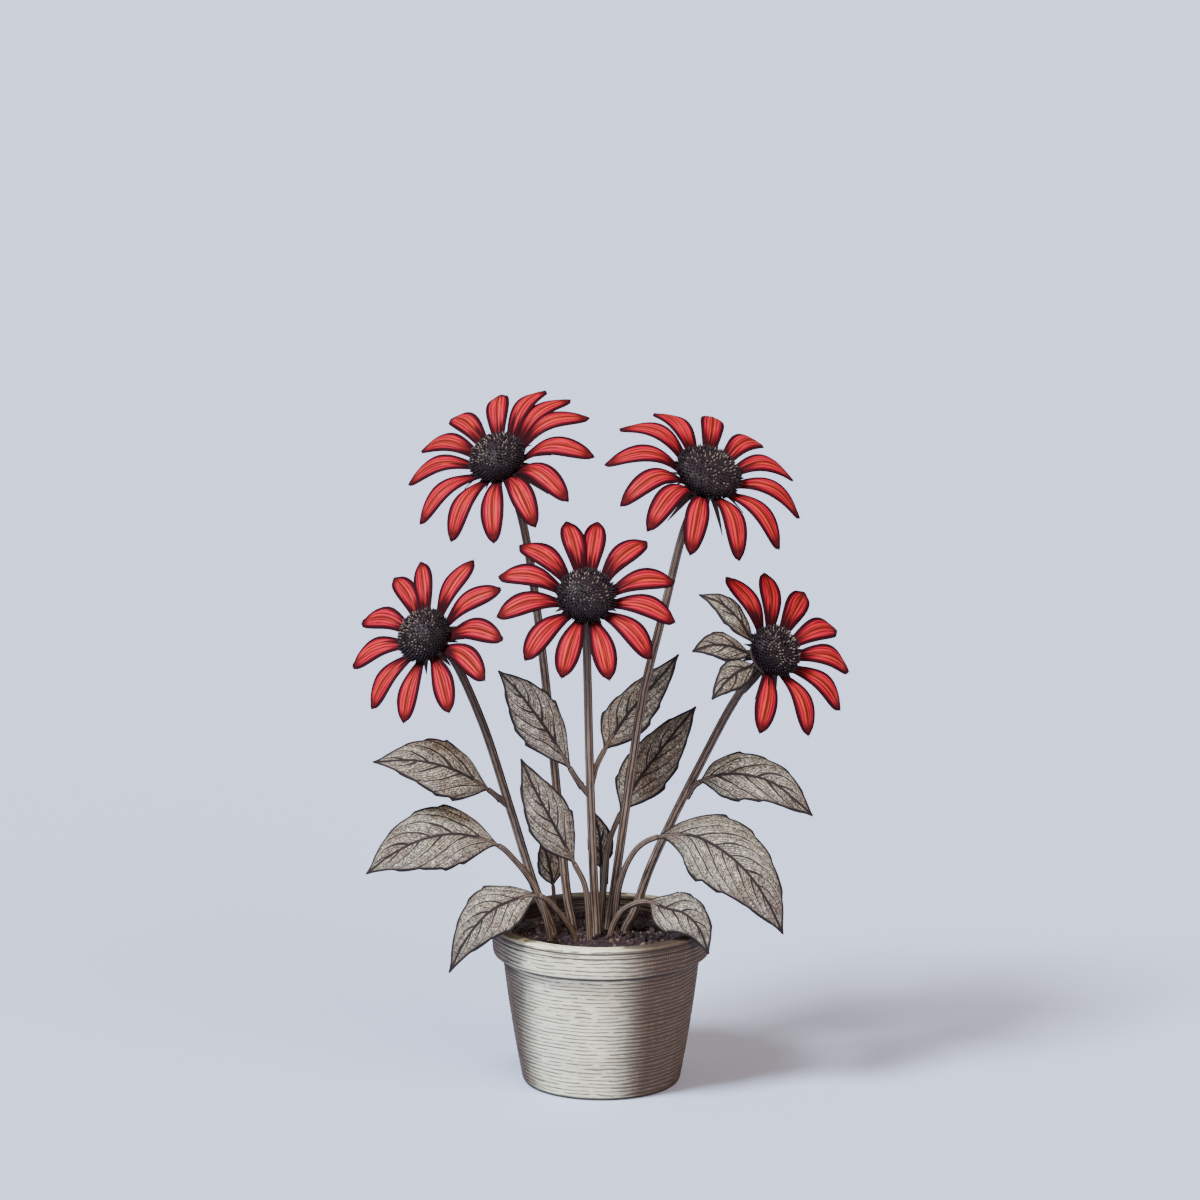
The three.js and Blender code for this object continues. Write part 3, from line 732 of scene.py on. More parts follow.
def blade(bench, columns, rows, thickness, place):
    """A thin blade. place(vert, across, along) gives the upper face's points."""
    made = bmesh.ops.create_grid(bench.mesh, x_segments=columns, y_segments=rows, size=1,
                                 calc_uvs=True)
    verts = list(made["verts"])
    faces = list({face for vert in verts for face in vert.link_faces})
    for i, vert in enumerate(verts):
        vert.co = place(vert, vert.co.x, (vert.co.y + 1) / 2)
        vert[bench.twin] = i
    for face in faces:
        face.normal_update()
    for vert in verts:
        vert.normal_update()
    made = bmesh.ops.solidify(bench.mesh, geom=faces, thickness=thickness)
    upper = set(verts)
    under = [item for item in made["geom"]
             if isinstance(item, bmesh.types.BMVert) and item not in upper]
    for vert in under:
        above = verts[vert[bench.twin]]
        vert.co = above.co - thickness * above.normal
    return verts + under


def tube(bench, curve, reach, radius_at, sides, steps, facing):
    """A closed round tube along a stretch of a curve. radius_at(round, along) shapes it."""
    made = bmesh.ops.create_grid(bench.mesh, x_segments=sides, y_segments=steps, size=1,
                                 calc_uvs=True)
    verts = made["verts"]
    for vert in verts:
        turn, along = vert.co.x * math.pi, (vert.co.y + 1) / 2
        point, side, up = curve.frame(lerp(*reach, along), facing)
        radius = radius_at(turn, along)
        vert.co = point + radius * (math.cos(turn) * side - math.sin(turn) * up)
    faces = list({face for vert in verts for face in vert.link_faces})
    bmesh.ops.remove_doubles(bench.mesh, verts=verts, dist=0.0001)
    verts = list({vert for face in faces if face.is_valid for vert in face.verts})
    ends = [edge for edge in {e for vert in verts for e in vert.link_edges} if edge.is_boundary]
    bmesh.ops.holes_fill(bench.mesh, edges=ends, sides=0)
    return verts


def turned(bench, profile, sides):
    """A shape turned round the Z axis from a closed profile of (radius, height) points."""
    verts = [bench.mesh.verts.new((radius, 0, height)) for radius, height in profile]
    edges = [bench.mesh.edges.new(pair) for pair in zip(verts, verts[1:] + verts[:1])
             if pair[0].co.x + pair[1].co.x > 0]
    before = set(bench.mesh.verts) - set(verts)
    bmesh.ops.spin(bench.mesh, geom=verts + edges, axis=(0, 0, 1), cent=(0, 0, 0),
                   angle=2 * math.pi, steps=sides, use_merge=True)
    made = [vert for vert in bench.mesh.verts if vert not in before]
    bmesh.ops.remove_doubles(bench.mesh, verts=made, dist=0.0001)
    made = [vert for vert in bench.mesh.verts if vert not in before]
    faces = list({face for vert in made for face in vert.link_faces})
    bmesh.ops.recalc_face_normals(bench.mesh, faces=faces)
    return made


def arc(start, pull, end, parts=6):
    """Points of a bent stretch of a profile, from start towards pull and on to end."""
    points = []
    for i in range(parts + 1):
        t = i / parts
        points.append(tuple((1 - t) ** 2 * a + 2 * t * (1 - t) * b + t * t * c
                            for a, b, c in zip(start, pull, end)))
    return points


print("helpers ready: blade, tube, turned, arc")

# %% [markdown]
# ## The pot
#
# A plain flower pot: a tapered body, a straight rim band and a rounded lip, with a
# drain hole in its floor. It could be a primitive cylinder with edits, but a turned
# profile is how a potter would do it, and it gives the wall its real thickness. The
# outer wall carries the shallow rings that fingers leave on the wheel.

# %% Turn the pot
RING_PITCH = 3.1
RING_DEPTH = 0.16
POT_SIDES = 144


def thrown(points, close):
    """Divides a profile into short steps and adds the potter's rings to them."""
    result = []
    for (r0, z0), (r1, z1) in zip(points, points[1:]):
        parts = max(1, round(math.hypot(r1 - r0, z1 - z0) / close))
        for i in range(parts):
            radius, height = lerp(r0, r1, i / parts), lerp(z0, z1, i / parts)
            drift = 1.5 * noise.noise((0, 0, height * 0.11))
            ring = RING_DEPTH * math.sin(2 * math.pi * (height / RING_PITCH + drift))
            result.append((radius + ring, height))
    return result


def pot_profile():
    rim_foot = POT_HEIGHT - RIM_HEIGHT
    lip_inner = RIM_RADIUS - LIP_WIDTH
    rim_foot_radius = RIM_RADIUS - RIM_TAPER
    middle = (BASE_RADIUS + BODY_TOP_RADIUS) / 2 + 2 * BODY_BULGE
    foot = (BASE_RADIUS + 0.5, EDGE_ROUND)
    neck = (BODY_TOP_RADIUS, rim_foot - 2)
    band_low = (rim_foot_radius, rim_foot + EDGE_ROUND)
    band_high = (RIM_RADIUS, POT_HEIGHT - EDGE_ROUND)
    return [
        (DRAIN_RADIUS, 0),
        *arc((BASE_RADIUS - EDGE_ROUND, 0), (BASE_RADIUS, 0), foot)[:-1],
        *thrown(arc(foot, (middle, rim_foot / 2), neck, 12), 0.8),
        *arc(neck, (BODY_TOP_RADIUS, rim_foot), (BODY_TOP_RADIUS + 2, rim_foot), 4),
        *arc((rim_foot_radius - EDGE_ROUND, rim_foot), (rim_foot_radius, rim_foot), band_low)[:-1],
        *thrown([band_low, band_high], 0.8),
        *arc(band_high, (RIM_RADIUS, POT_HEIGHT), (RIM_RADIUS - EDGE_ROUND, POT_HEIGHT)),
        *arc((lip_inner + EDGE_ROUND, POT_HEIGHT), (lip_inner, POT_HEIGHT),
             (lip_inner, POT_HEIGHT - EDGE_ROUND)),
        (INNER_BASE_RADIUS, FLOOR_THICKNESS),
        (DRAIN_RADIUS, FLOOR_THICKNESS),
    ]


pot_bench = Bench()
turned(pot_bench, pot_profile(), POT_SIDES)
make_piece("thrown_pot", pot_bench, [POT], "pot", "pot")

# %% [markdown]
# ## The soil
#
# Compost fills the pot to just under its lip. A smooth disc would look like chocolate,
# so the turned mound is roughened point by point with noise, and loose crumbs and chips
# of bark lie on it. Their places come from a seeded draw, so every run is the same.

# %% Fill the pot with soil
SOIL_SIDES = 120
SOIL_RINGS = 50
CRUMBS = 950


def pot_inner_radius(height):
    share = (height - FLOOR_THICKNESS) / (POT_HEIGHT - EDGE_ROUND - FLOOR_THICKNESS)
    return lerp(INNER_BASE_RADIUS, RIM_RADIUS - LIP_WIDTH, share)


def soil_height(x, y):
    edge = pot_inner_radius(SOIL_EDGE) - GAP
    share = min(1, math.hypot(x, y) / edge)
    swell = 1.3 * noise.noise((x * 0.05, y * 0.05, 3))
    rough = 1.1 * noise.noise((x * 0.21, y * 0.21, 7)) + 0.6 * noise.noise((x * 0.6, y * 0.6, 1))
    return SOIL_EDGE + SOIL_MOUND * (1 - share ** 2) + swell + rough


def scatter_crumbs(bench, edge):
    draw = random.Random(7)
    for i in range(CRUMBS):
        turn, away = draw.uniform(0, 2 * math.pi), (edge - 3) * math.sqrt(draw.random())
        x, y = away * math.cos(turn), away * math.sin(turn)
        size = draw.uniform(0.5, 1.5) if i % 9 else draw.uniform(1.8, 2.8)
        flat = Vector((size * draw.uniform(0.8, 1.6), size, size * draw.uniform(0.35, 0.8)))
        tilt = Quaternion((draw.random(), draw.random(), draw.random()), draw.uniform(0, 3))
        lie = Matrix.LocRotScale((x, y, soil_height(x, y) + 0.2 * size), tilt, flat)
        made = bmesh.ops.create_icosphere(bench.mesh, subdivisions=1, radius=1, matrix=lie)
        bench.measure_all(made["verts"], tone=draw.random() ** 3)


def make_soil():
    bench = Bench()
    floor = FLOOR_THICKNESS + GAP
    edge = pot_inner_radius(SOIL_EDGE) - GAP
    scatter_crumbs(bench, edge)
    rings = [(edge * i / SOIL_RINGS, SOIL_EDGE + 1) for i in range(SOIL_RINGS, -1, -1)]
    profile = [(0, floor), (pot_inner_radius(floor) - GAP, floor), *rings]
    for vert in turned(bench, profile, SOIL_SIDES):
        if vert.co.z > SOIL_EDGE:
            vert.co.z = soil_height(vert.co.x, vert.co.y)
            bench.measure(vert, tone=max(0, noise.noise(vert.co * 0.35)) * 0.5)
    make_piece("bark_soil", bench, [SOIL], "soil", "soil")


make_soil()

# %% [markdown]
# ## Leaves
#
# A coneflower leaf is a long egg shape drawn out to a point, with shallow forward
# teeth. It could be cut from an image, but then it would be flat and its margin coarse.
# Three small formulas give the outline, the teeth, and how near a point is to a side
# vein. The last one counts veins as the leaf's material does, so both agree.

# %% Outline, teeth and veins of a leaf
TEETH = 8


def leaf_outline(along):
    """The half width of an egg shape with a narrow base and a drawn-out tip, 1 at most."""
    bulge, point = 0.72, 1.2
    widest = bulge / (bulge + point)
    peak = widest ** bulge * (1 - widest) ** point
    base = 1 - math.exp(-((along / 0.11) ** 1.3))
    tip = 1 - 0.3 * math.exp(-(1 - along) / 0.06)
    return along ** bulge * (1 - along) ** point / peak * base * tip


def tooth(along, side):
    """A saw whose teeth lean to the tip: out slowly, back at once. No two are alike."""
    step = along * TEETH + side
    share = step % 1
    size = 0.6 + 0.4 * math.sin(math.floor(step) * 2.4 + side * 9)
    return size * (share if share < 0.82 else (1 - share) * 4.5)


def vein_depth(across, along, veins):
    offset = abs(across)
    side = 0.5 if across > 0 else 0
    count = (along - VEIN_LEAN * offset * (0.5 + 0.5 * offset)) * veins + side
    apart = abs(count - math.floor(count) - 0.5) * 2
    fade = 0 if offset == 0 else 1 - offset ** 3
    return math.exp(-((apart / 0.3) ** 2)) * fade


print("a leaf is widest at", max(range(100), key=lambda i: leaf_outline(i / 100)), "% of its length")

# %% [markdown]
# The blade is a flat grid laid along its midrib. Each point goes sideways by the
# outline's width, and up or down by several small movements: a fold that rises beside
# the midrib and droops to the margin, a slow wave, a dip along each vein and a ruffle at
# the margin. Below the blade's start it runs on down the stalk as a narrow wing.

# %% Lay a leaf blade along its midrib
LEAF_COLUMNS = 24
LEAF_ROWS = 66
TOOTH_DEPTH = 0.075
WING = 2.8
WING_REACH = 0.22
VEIN_SPACING = 15
VEIN_DIP = 0.55
RUFFLE = 0.5
LEAF_FACING = Vector((0, -0.74, 0.67))
BRACT_FACING = Vector((0, 0, 1))


def leaf_blade(bench, curve, start, width, facing):
    foot = start - WING_REACH
    length = curve.length(foot)
    veins = max(4, round(length / VEIN_SPACING))
    rows = max(30, round(LEAF_ROWS * length / 100))

    def place(vert, across, along):
        offset = abs(across)
        step = lerp(foot, 1, along)
        body = leaf_outline(max(0, (step - start) / (1 - start)))
        teeth = 1 + TOOTH_DEPTH * (2 * tooth(along, 0.4 if across > 0 else 0) - 0.7) * offset ** 8
        wing = lerp(WING * min(1, width / 35), LEAF_END, min(1, along / 0.4))
        half = wing + width / 2 * body * teeth
        point, side, up = curve.frame(step, facing)
        soft = math.sqrt(offset ** 2 + 0.003) - 0.055  # the offset, rounded off at the midrib
        fold = LEAF_FOLD * half * (soft - LEAF_DROOP * across ** 2)
        wave = LEAF_WAVE * across ** 2 * math.sin(along * 3 * math.pi + across)
        wave *= min(1, half / 8)
        dip = VEIN_DIP * vein_depth(across, along, veins) * min(1, half / 9)
        ruffle = RUFFLE * offset ** 4 * math.sin(along * 31 + across * 2) * min(1, half / 12)
        end = (1 - along) * length * 0.6
        bench.measure(vert, edge=min((1 - offset) * half, end), rib=offset * half, veins=veins)
        lift = fold + wave - dip + ruffle + LEAF_THICKNESS / 2
        return point + across * half * side + lift * up

    blade(bench, LEAF_COLUMNS, rows, LEAF_THICKNESS, place)


print("a leaf blade is a grid of", LEAF_COLUMNS, "by about", LEAF_ROWS)

# %% [markdown]
# The stalk is a tube with a shallow channel on its upper side. It runs on under the
# blade as the raised midrib, thinning out towards the tip, as on the back of a real
# leaf.

# %% A leaf on its stalk
STALK_SIDES = 12
STALK_CHANNEL = 0.22
STALK_SHADE = 0.42
RIB_RADIUS = 1.6
RIB_TIP_RADIUS = 0.25
RIB_END = 0.9


def channelled(foot, end):
    """The radius of a stalk that thins from foot to end, with a channel along its top."""
    def radius_at(turn, along):
        channel = 1 - STALK_CHANNEL * max(0, -math.sin(turn)) ** 3
        return lerp(foot, end, along) * channel
    return radius_at


def leaf(bench, stalk, rib, width, facing=LEAF_FACING, small=False):
    curve = Curve([*stalk, *rib])
    start = len(stalk) / (len(stalk) + len(rib) - 1)
    scale = SMALL_STALK if small else 1
    first = len(bench.mesh.faces)
    stalk_radius = channelled(STALK_RADIUS * scale, STALK_END_RADIUS * scale)
    verts = tube(bench, curve, (0, start), stalk_radius, STALK_SIDES, 10 * len(stalk), facing)
    under = []
    for i in range(9):
        point, _, up = curve.frame(lerp(start, RIB_END, i / 8), facing)
        under.append(point - up * lerp(0.2, 0.9, min(1, i / 2)))
    verts += tube(bench, Curve(under), (0, 1), channelled(RIB_RADIUS * scale, RIB_TIP_RADIUS),
                  8, 30, facing)
    bench.measure_all(verts, shade=STALK_SHADE)
    bench.mesh.faces.ensure_lookup_table()
    for face in bench.mesh.faces[first:]:
        face.material_index = 1
    leaf_blade(bench, curve, start, width, facing)


def rooted(points):
    """A plant part that starts in the soil stands upright in its hole before it bends."""
    (x, y), *rest = points
    foot = SOIL_EDGE - HOLE_DEPTH + GAP
    return [(x, y, foot), (x, y, SOIL_EDGE - 2), (x, y, SOIL_EDGE + SOIL_MOUND + 1), *rest]


def make_basal_leaf(name, facts):
    bench = Bench()
    leaf(bench, rooted(facts["stalk"]), facts["rib"], facts["width"],
         small=facts.get("small", False))
    make_piece(f"leaf_{name}", bench, [LEAF, STEM], "leaf", f"basal_leaf_{name}")


for name, facts in BASAL_LEAVES.items():
    make_basal_leaf(name, facts)

# %% [markdown]
# ## Blooms
#
# Everything in a bloom is easiest to shape lying flat: Z comes out of its face and Y
# points up the slope. One matrix per bloom then lays it in its place on the plant.

# %% The turn of each bloom
def heading(azimuth, elevation):
    """A direction. Azimuth 0 is towards the viewer, and 90 to the right."""
    turn, rise = math.radians(azimuth), math.radians(elevation)
    return Vector((math.sin(turn) * math.cos(rise), -math.cos(turn) * math.cos(rise),
                   math.sin(rise)))


def spoke(clock):
    """The direction outwards at a clock angle of the bloom, and the one across it."""
    turn = math.radians(clock)
    return Vector((math.sin(turn), math.cos(turn), 0)), Vector((math.cos(turn), -math.sin(turn), 0))


def bloom_matrix(bloom):
    out = heading(bloom["azimuth"], bloom["elevation"])
    across = Vector((0, 0, 1)).cross(out).normalized()
    slope = out.cross(across)
    turned_axes = Matrix((across, slope, out)).transposed().to_4x4()
    return Matrix.Translation(bloom["centre"]) @ turned_axes


def vary(seed, i):
    """A spread of small fixed differences between one petal and the next."""
    return math.sin(seed * 12.9 + i * 4.7) * math.cos(seed * 3.1 + i * 7.3)


for name, bloom in BLOOMS.items():
    print(name, "looks along", tuple(round(part, 2) for part in bloom_matrix(bloom).col[2][:3]))

# %% [markdown]
# **Petals.** A ray petal arches up from the cone and falls to a blunt tip with three
# small teeth. Two grooves run down its length with fine ribs between them. Its course
# and arch follow the measured model, and the grooves, ribs and teeth are added here. A
# petal is as wide as its neighbours leave room for, so that no two cut into each other.

# %% Ray petals
PETAL_COLUMNS = 18
PETAL_ROWS = 30
GROOVE_PLACE = 0.36
GROOVE_DEPTH = 0.3


def petal_relief(across, along):
    groove = math.exp(-(((abs(across) - GROOVE_PLACE) / 0.13) ** 2))
    ribs = math.cos(across * 9 * math.pi)
    return (0.06 * ribs - GROOVE_DEPTH * groove) * math.sin(math.pi * along ** 0.8)


def petal_width(bloom, i):
    """As wide as a full petal, or as the gap to the nearer neighbour allows."""
    clocks = bloom["petals"]
    gap = min((clocks[i] - clocks[i - 1]) % 360, (clocks[(i + 1) % len(clocks)] - clocks[i]) % 360)
    middle = lerp(PETAL_ROOT, bloom["reach"], 0.6)
    return min(PETAL_WIDTH, 1.96 * middle * math.sin(math.radians(gap / 2)))


def petal(bench, clock, bloom, seed, i):
    width = petal_width(bloom, i)
    out, side = spoke(clock)
    top = bloom["arch"] * (1 + 0.15 * vary(seed, i))
    fall = bloom["droop"] + 1.5 * vary(seed, i + 40)
    bend = 2 * vary(seed, i + 80)
    sag = bloom["bow"] * out.x
    tip_half = PETAL_TIP_WIDTH / 2
    tone = 0.5 + 0.5 * vary(seed, i + 120)
    # How far the painted shade under the cone reaches: furthest on the upper petals.
    root_shade_reach = lerp(0.17, 0.26, 0.5 + 0.5 * out.y)

    def place(vert, across, along):
        s = 1 - (1 - along) ** 1.35  # rows crowd together towards the tip
        offset = abs(across)
        swell = math.sin(math.pi * s ** 1.42) ** 0.8
        half = tip_half + (width / 2 - tip_half) * swell
        half *= math.sqrt(max(0, 1 - s ** 30)) * 0.75 + 0.25
        teeth = 0.9 * s ** 12 * math.sin(1.5 * math.pi * offset) ** 2
        point = PETAL_POINT * (1 - offset) * s ** 6 - teeth
        radius = lerp(PETAL_ROOT, bloom["reach"] - PETAL_POINT, s) + point
        height = top * math.sin(math.pi * s ** 1.02) - fall * s ** 3
        drift = bend * s ** 2 - sag * math.sin(math.pi * s)
        curl = 0.5 * offset ** 3 * math.sin(s * 9 + seed + i) * s
        lift = height - PETAL_CUP * across ** 2 * swell + petal_relief(across, s) + curl
        end = (bloom["reach"] - PETAL_ROOT) * (1 - s)
        bench.measure(vert, edge=min((1 - offset) * half, end), tone=tone, shade=root_shade_reach)
        return radius * out + (across * half + drift) * side + Vector((0, 0, lift))

    blade(bench, PETAL_COLUMNS, PETAL_ROWS, PETAL_THICKNESS, place)


def make_petals(name, bloom, seed):
    bench = Bench()
    half = RING_THICKNESS / 2
    turned(bench, [(RING_INNER, -half), (RING_OUTER, -half), (RING_OUTER, half),
                   (RING_INNER, half)], 48)
    for i, clock in enumerate(bloom["petals"]):
        petal(bench, clock, bloom, seed, i)
    bench.place(bench.mesh.verts, bloom_matrix(bloom))
    make_piece(f"petals_{name}", bench, [PETAL], "petal", f"ray_petals_{name}")


for seed, (name, bloom) in enumerate(BLOOMS.items(), 1):
    make_petals(name, bloom, seed)

# %% [markdown]
# **Cones.** The dome is packed with stiff pointed florets in the two crossing spirals
# of a daisy head. Placing each floret a golden angle on from the last gives the spirals
# by itself. Each one is a slim five-sided spike on a dark core, and leans outward more
# the lower it stands.

# %% Spiny cones
FLORETS = 520
FLORET_LENGTH = 3.4
FLORET_RADIUS = 0.95
CONE_SWEEP = 99
GOLDEN_ANGLE = math.pi * (3 - math.sqrt(5))


def dome_point(radius, level, turn):
    foot = RING_THICKNESS / 2 + GAP
    waist = foot + CONE_FLARE * (radius - CONE_BOSS)
    around = radius * math.sqrt(max(0, 1 - level ** 2))
    rise = waist + (CONE_HEIGHT - waist) * level
    return Vector((around * math.cos(turn), around * math.sin(turn), rise))


def cone_core(bench, radius):
    inner = radius - 0.6 * FLORET_LENGTH
    foot = RING_THICKNESS / 2 + GAP
    points = [dome_point(radius, math.cos(math.radians(angle)), 0) for angle in range(0, 100, 9)]
    shrink = inner / radius
    profile = [(point.x * shrink, foot + (point.z - foot) * shrink) for point in points]
    turned(bench, [(0, foot - 1), (CONE_BOSS - GAP, foot - 1), (CONE_BOSS, foot),
                   *reversed(profile)], 40)


def make_cone(name, bloom, seed):
    bench = Bench()
    radius = bloom["cone"]
    draw = random.Random(seed)
    sweep = 1 - math.cos(math.radians(CONE_SWEEP))
    heart = Vector((0, 0, RING_THICKNESS))
    for i in range(FLORETS):
        level = 1 - sweep * (i + 0.5) / FLORETS
        tip = dome_point(radius, level, i * GOLDEN_ANGLE)
        tip *= 1 + 0.045 * draw.uniform(-1, 1)
        lean = (tip - heart).normalized().lerp(Vector((0, 0, 1)), 0.25).normalized()
        length = FLORET_LENGTH * draw.uniform(0.8, 1.25)
        spin = lean.to_track_quat("Z", "Y") @ Quaternion((0, 0, 1), draw.uniform(0, 6))
        middle = tip - lean * length / 2
        made = bmesh.ops.create_cone(bench.mesh, cap_ends=True, segments=5,
                                     radius1=FLORET_RADIUS, radius2=0.22, depth=length,
                                     matrix=Matrix.LocRotScale(middle, spin, None))["verts"]
        # A painted highlight on some floret tips, most near the top of the dome and fewest low down.
        pale = draw.random() ** 1.2 * min(1, max(0.12, level * 1.6 - 0.25))
        for vert in made:
            bench.measure(vert, tone=pale if (vert.co - middle).dot(lean) > 0 else 0)
    cone_core(bench, radius)
    bench.place(bench.mesh.verts, bloom_matrix(bloom))
    make_piece(f"florets_{name}", bench, [CONE], "cone", f"cone_{name}")


for seed, (name, bloom) in enumerate(BLOOMS.items(), 11):
    make_cone(name, bloom, seed)

# %% [markdown]
# **Stems.** A stem is ribbed lengthwise and set with short stiff hairs. At its top it
# flares into a dark cup with rows of narrow sepals. The longest ones follow the measured
# model, and a short row above them hides the cup's side.

# %% The cup and its sepals
def sepal(bench, clock, root, length, width, fall):
    out, side = spoke(clock)
    top = -RING_THICKNESS / 2 - GAP

    def place(vert, across, along):
        half = width / 2 * (1 - along ** 1.6) + 0.25
        rise = top - 3.3 - fall * along ** 1.25 - 0.4 * abs(across)
        return (root + length * 0.8 * along) * out + across * half * side + Vector((0, 0, rise))

    return blade(bench, 4, 8, 0.6, place)


SHORT_SEPALS = 16
# The cup and the sepals are painted near black, as shade under the bloom.
CUP_SHADE = 0.85


def bloom_cup(bench, bloom):
    top = -RING_THICKNESS / 2 - GAP
    verts = turned(bench, [(0, top - CUP_DEPTH), (STEM_NECK_RADIUS + 1, top - CUP_DEPTH),
                           *arc((CUP_RADIUS * 0.5, top - CUP_DEPTH * 0.6),
                                (CUP_RADIUS * 0.8, top - CUP_DEPTH * 0.3), (CUP_RADIUS, top - 2)),
                           (CUP_RADIUS, top), (0, top)], 32)
    for clock in bloom["sepals"]:
        length = SEPAL_LENGTH * bloom.get("sepal_share", 1)
        verts += sepal(bench, clock, CUP_RADIUS - 3, length, SEPAL_WIDTH, length * 0.55)
    for i in range(SHORT_SEPALS):
        verts += sepal(bench, i * 360 / SHORT_SEPALS + 8, CUP_RADIUS - 5, 9, 3.6, 6)
    bench.measure_all(verts, shade=CUP_SHADE)
    return verts


print("a cup is", 2 * CUP_RADIUS, "mm across")

# %% [markdown]
# The stem itself is a tube whose radius goes in and out with its ribs. The painted
# shade under the bloom fades down from the neck, as the measure shade. The hairs are
# cones of three sides, because there are hundreds of them and nobody sees one alone.

# %% Stems with ribs and hairs
STEM_SIDES = 28
STEM_STEPS = 110
RIB_DEPTH = 0.14
HAIRS = 420
HAIR_LENGTH = 0.9
HAIR_SHADE = 0.3
DARK_NECK = 95


def ribbed(turn, along):
    radius = lerp(STEM_FOOT_RADIUS, STEM_NECK_RADIUS, along)
    swell = 0.5 * math.exp(-(((along - 1) / 0.05) ** 2))
    return radius + swell + RIB_DEPTH * math.cos(STEM_RIBS * turn)


def stem_hairs(bench, curve, draw):
    for _ in range(HAIRS):
        along = draw.uniform(0.08, 0.97)
        point, side, up = curve.frame(along, VIEWER)
        turn = draw.uniform(0, 2 * math.pi)
        away = math.cos(turn) * side + math.sin(turn) * up
        lean = (away + 0.35 * Vector((0, 0, 1))).normalized()
        base = point + away * (lerp(STEM_FOOT_RADIUS, STEM_NECK_RADIUS, along) - 0.15)
        length = HAIR_LENGTH * draw.uniform(0.6, 1.3)
        lie = Matrix.LocRotScale(base + lean * length / 2, lean.to_track_quat("Z", "Y"), None)
        hair = bmesh.ops.create_cone(bench.mesh, cap_ends=True, segments=3, radius1=0.11,
                                     radius2=0.02, depth=length, matrix=lie)
        bench.measure_all(hair["verts"], shade=HAIR_SHADE)


def make_stem(name, bloom, seed):
    place = bloom_matrix(bloom)
    neck = [tuple(place @ Vector((0, 0, rise))) for rise in (-CUP_DEPTH * 0.9, -4)]
    curve = Curve([*rooted(bloom["stem"]), *neck])
    bench = Bench()
    stem_hairs(bench, curve, random.Random(seed))
    bench.place(bloom_cup(bench, bloom), place)
    verts = tube(bench, curve, (0, 1), ribbed, STEM_SIDES, STEM_STEPS, VIEWER)
    # Painted shade under the bloom: dark at the neck and fading down the stem.
    top = curve.point(1)
    for vert in verts:
        away = (vert.co - top).length
        bench.measure(vert, shade=min(1, 1.1 * math.exp(-away / DARK_NECK)))
    make_piece(f"stem_{name}", bench, [STEM], "stem", f"flower_stem_{name}")


for seed, (name, bloom) in enumerate(BLOOMS.items(), 21):
    make_stem(name, bloom, seed)

# %% [markdown]
# **Leaves on the stems.** Three of the stems carry leaves, and one bloom has three small
# bracts under it in the place of petals. They are made exactly as the leaves at the
# foot are. The bracts are shaped in the bloom's own frame.

# %% Stem leaves and bracts
def bract_points(clock, reach):
    def out(radius, rise, bow=0):
        turn = math.radians(clock + bow)
        return (radius * math.sin(turn), radius * math.cos(turn), rise)
    stalk = [out(7, -4), out(10, -4)]
    return stalk, [out(14, -3.5, 3), out(34, 2, 7), out(50, 3, 4), out(reach, 0)]


def make_stem_leaves(name, bloom):
    bench = Bench()
    for facts in bloom.get("bracts", []):
        stalk, rib = bract_points(facts["clock"], facts["reach"])
        leaf(bench, stalk, rib, facts["width"], BRACT_FACING, small=True)
    bench.place(bench.mesh.verts, bloom_matrix(bloom))
    for facts in bloom["leaves"]:
        leaf(bench, facts["stalk"], facts["rib"], facts["width"])
    make_piece(f"stem_leaves_{name}", bench, [LEAF, STEM], "leaf", f"flower_stem_{name}")


for name, bloom in BLOOMS.items():
    if bloom["leaves"]:
        make_stem_leaves(name, bloom)

# %% [markdown]
# ## The studio
#
# A plain pale floor, wide enough to fill the view, and a soft sun from the front left
# that models the pot and drops a soft shadow behind it to the right. A weak warm sun
# from the front right and an even sky lift what the first one leaves dark. The camera
# stands four metres off with a long lens and looks down a little.

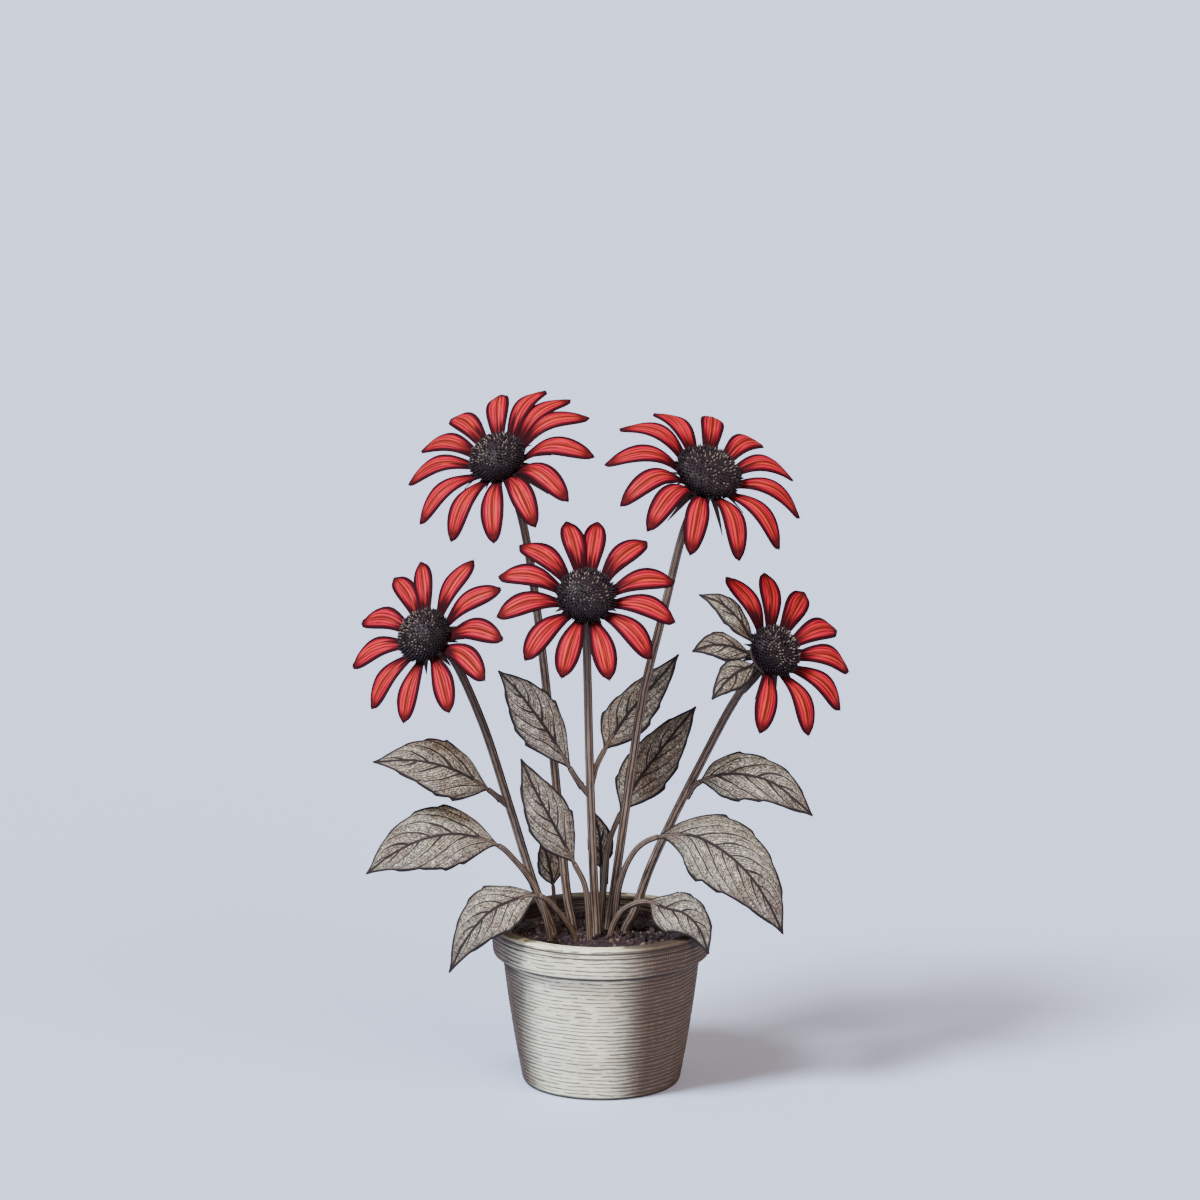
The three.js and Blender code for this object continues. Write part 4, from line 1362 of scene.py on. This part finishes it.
# %% Floor, light and camera
FLOOR_RADIUS = 40
CAMERA_DISTANCE = 4.0
CAMERA_PITCH = math.radians(12.5)
CAMERA_TARGET = Vector((-0.87, 0, 334.8)) * MM
SENSOR = 36
VIEW_WIDTH = 0.8064
FLOOR_COLOUR = (0.60, 0.665, 0.90, 1)
SKY_COLOUR = (1, 0.83, 0.67, 1)
SKY_STRENGTH = 0.3


def make_floor():
    bench = bmesh.new()
    bmesh.ops.create_circle(bench, cap_ends=True, segments=96, radius=FLOOR_RADIUS)
    data = bpy.data.meshes.new("studio_floor")
    bench.to_mesh(data)
    bench.free()
    material = bpy.data.materials.new("studio paper")
    material.use_nodes = True
    shader = material.node_tree.nodes["Principled BSDF"]
    shader.inputs["Base Color"].default_value = FLOOR_COLOUR
    shader.inputs["Roughness"].default_value = 0.95
    shader.inputs["Specular IOR Level"].default_value = 0
    data.materials.append(material)
    floor = add_object("studio_floor", data)


def make_sun(name, azimuth, elevation, energy, angle, tint):
    lamp = bpy.data.lights.new(name, "SUN")
    lamp.energy = energy
    lamp.angle = math.radians(angle)
    lamp.color = tint
    sun = add_object(name, lamp)
    towards = heading(azimuth, elevation)
    sun.rotation_mode = "QUATERNION"
    sun.rotation_quaternion = towards.to_track_quat("Z", "Y")


def make_sky():
    world = bpy.data.worlds.new("sky")
    world.use_nodes = True
    light = world.node_tree.nodes["Background"]
    light.inputs["Color"].default_value = SKY_COLOUR
    light.inputs["Strength"].default_value = SKY_STRENGTH
    bpy.context.scene.world = world


def make_camera():
    data = bpy.data.cameras.new("camera")
    data.sensor_width = SENSOR
    data.lens = SENSOR * CAMERA_DISTANCE / VIEW_WIDTH
    camera = add_object("camera", data)
    back = Vector((0, -math.cos(CAMERA_PITCH), math.sin(CAMERA_PITCH)))
    camera.location = CAMERA_TARGET + back * CAMERA_DISTANCE
    camera.rotation_mode = "QUATERNION"
    camera.rotation_quaternion = back.to_track_quat("Z", "Y")
    bpy.context.scene.camera = camera


make_floor()
make_sun("key", azimuth=-54, elevation=52, energy=6.6, angle=18, tint=(0.86, 0.925, 1))
make_sun("fill", azimuth=40, elevation=28, energy=2.2, angle=45, tint=(1, 0.82, 0.68))
make_sky()
make_camera()
print("camera at", tuple(round(part, 3) for part in bpy.context.scene.camera.location))
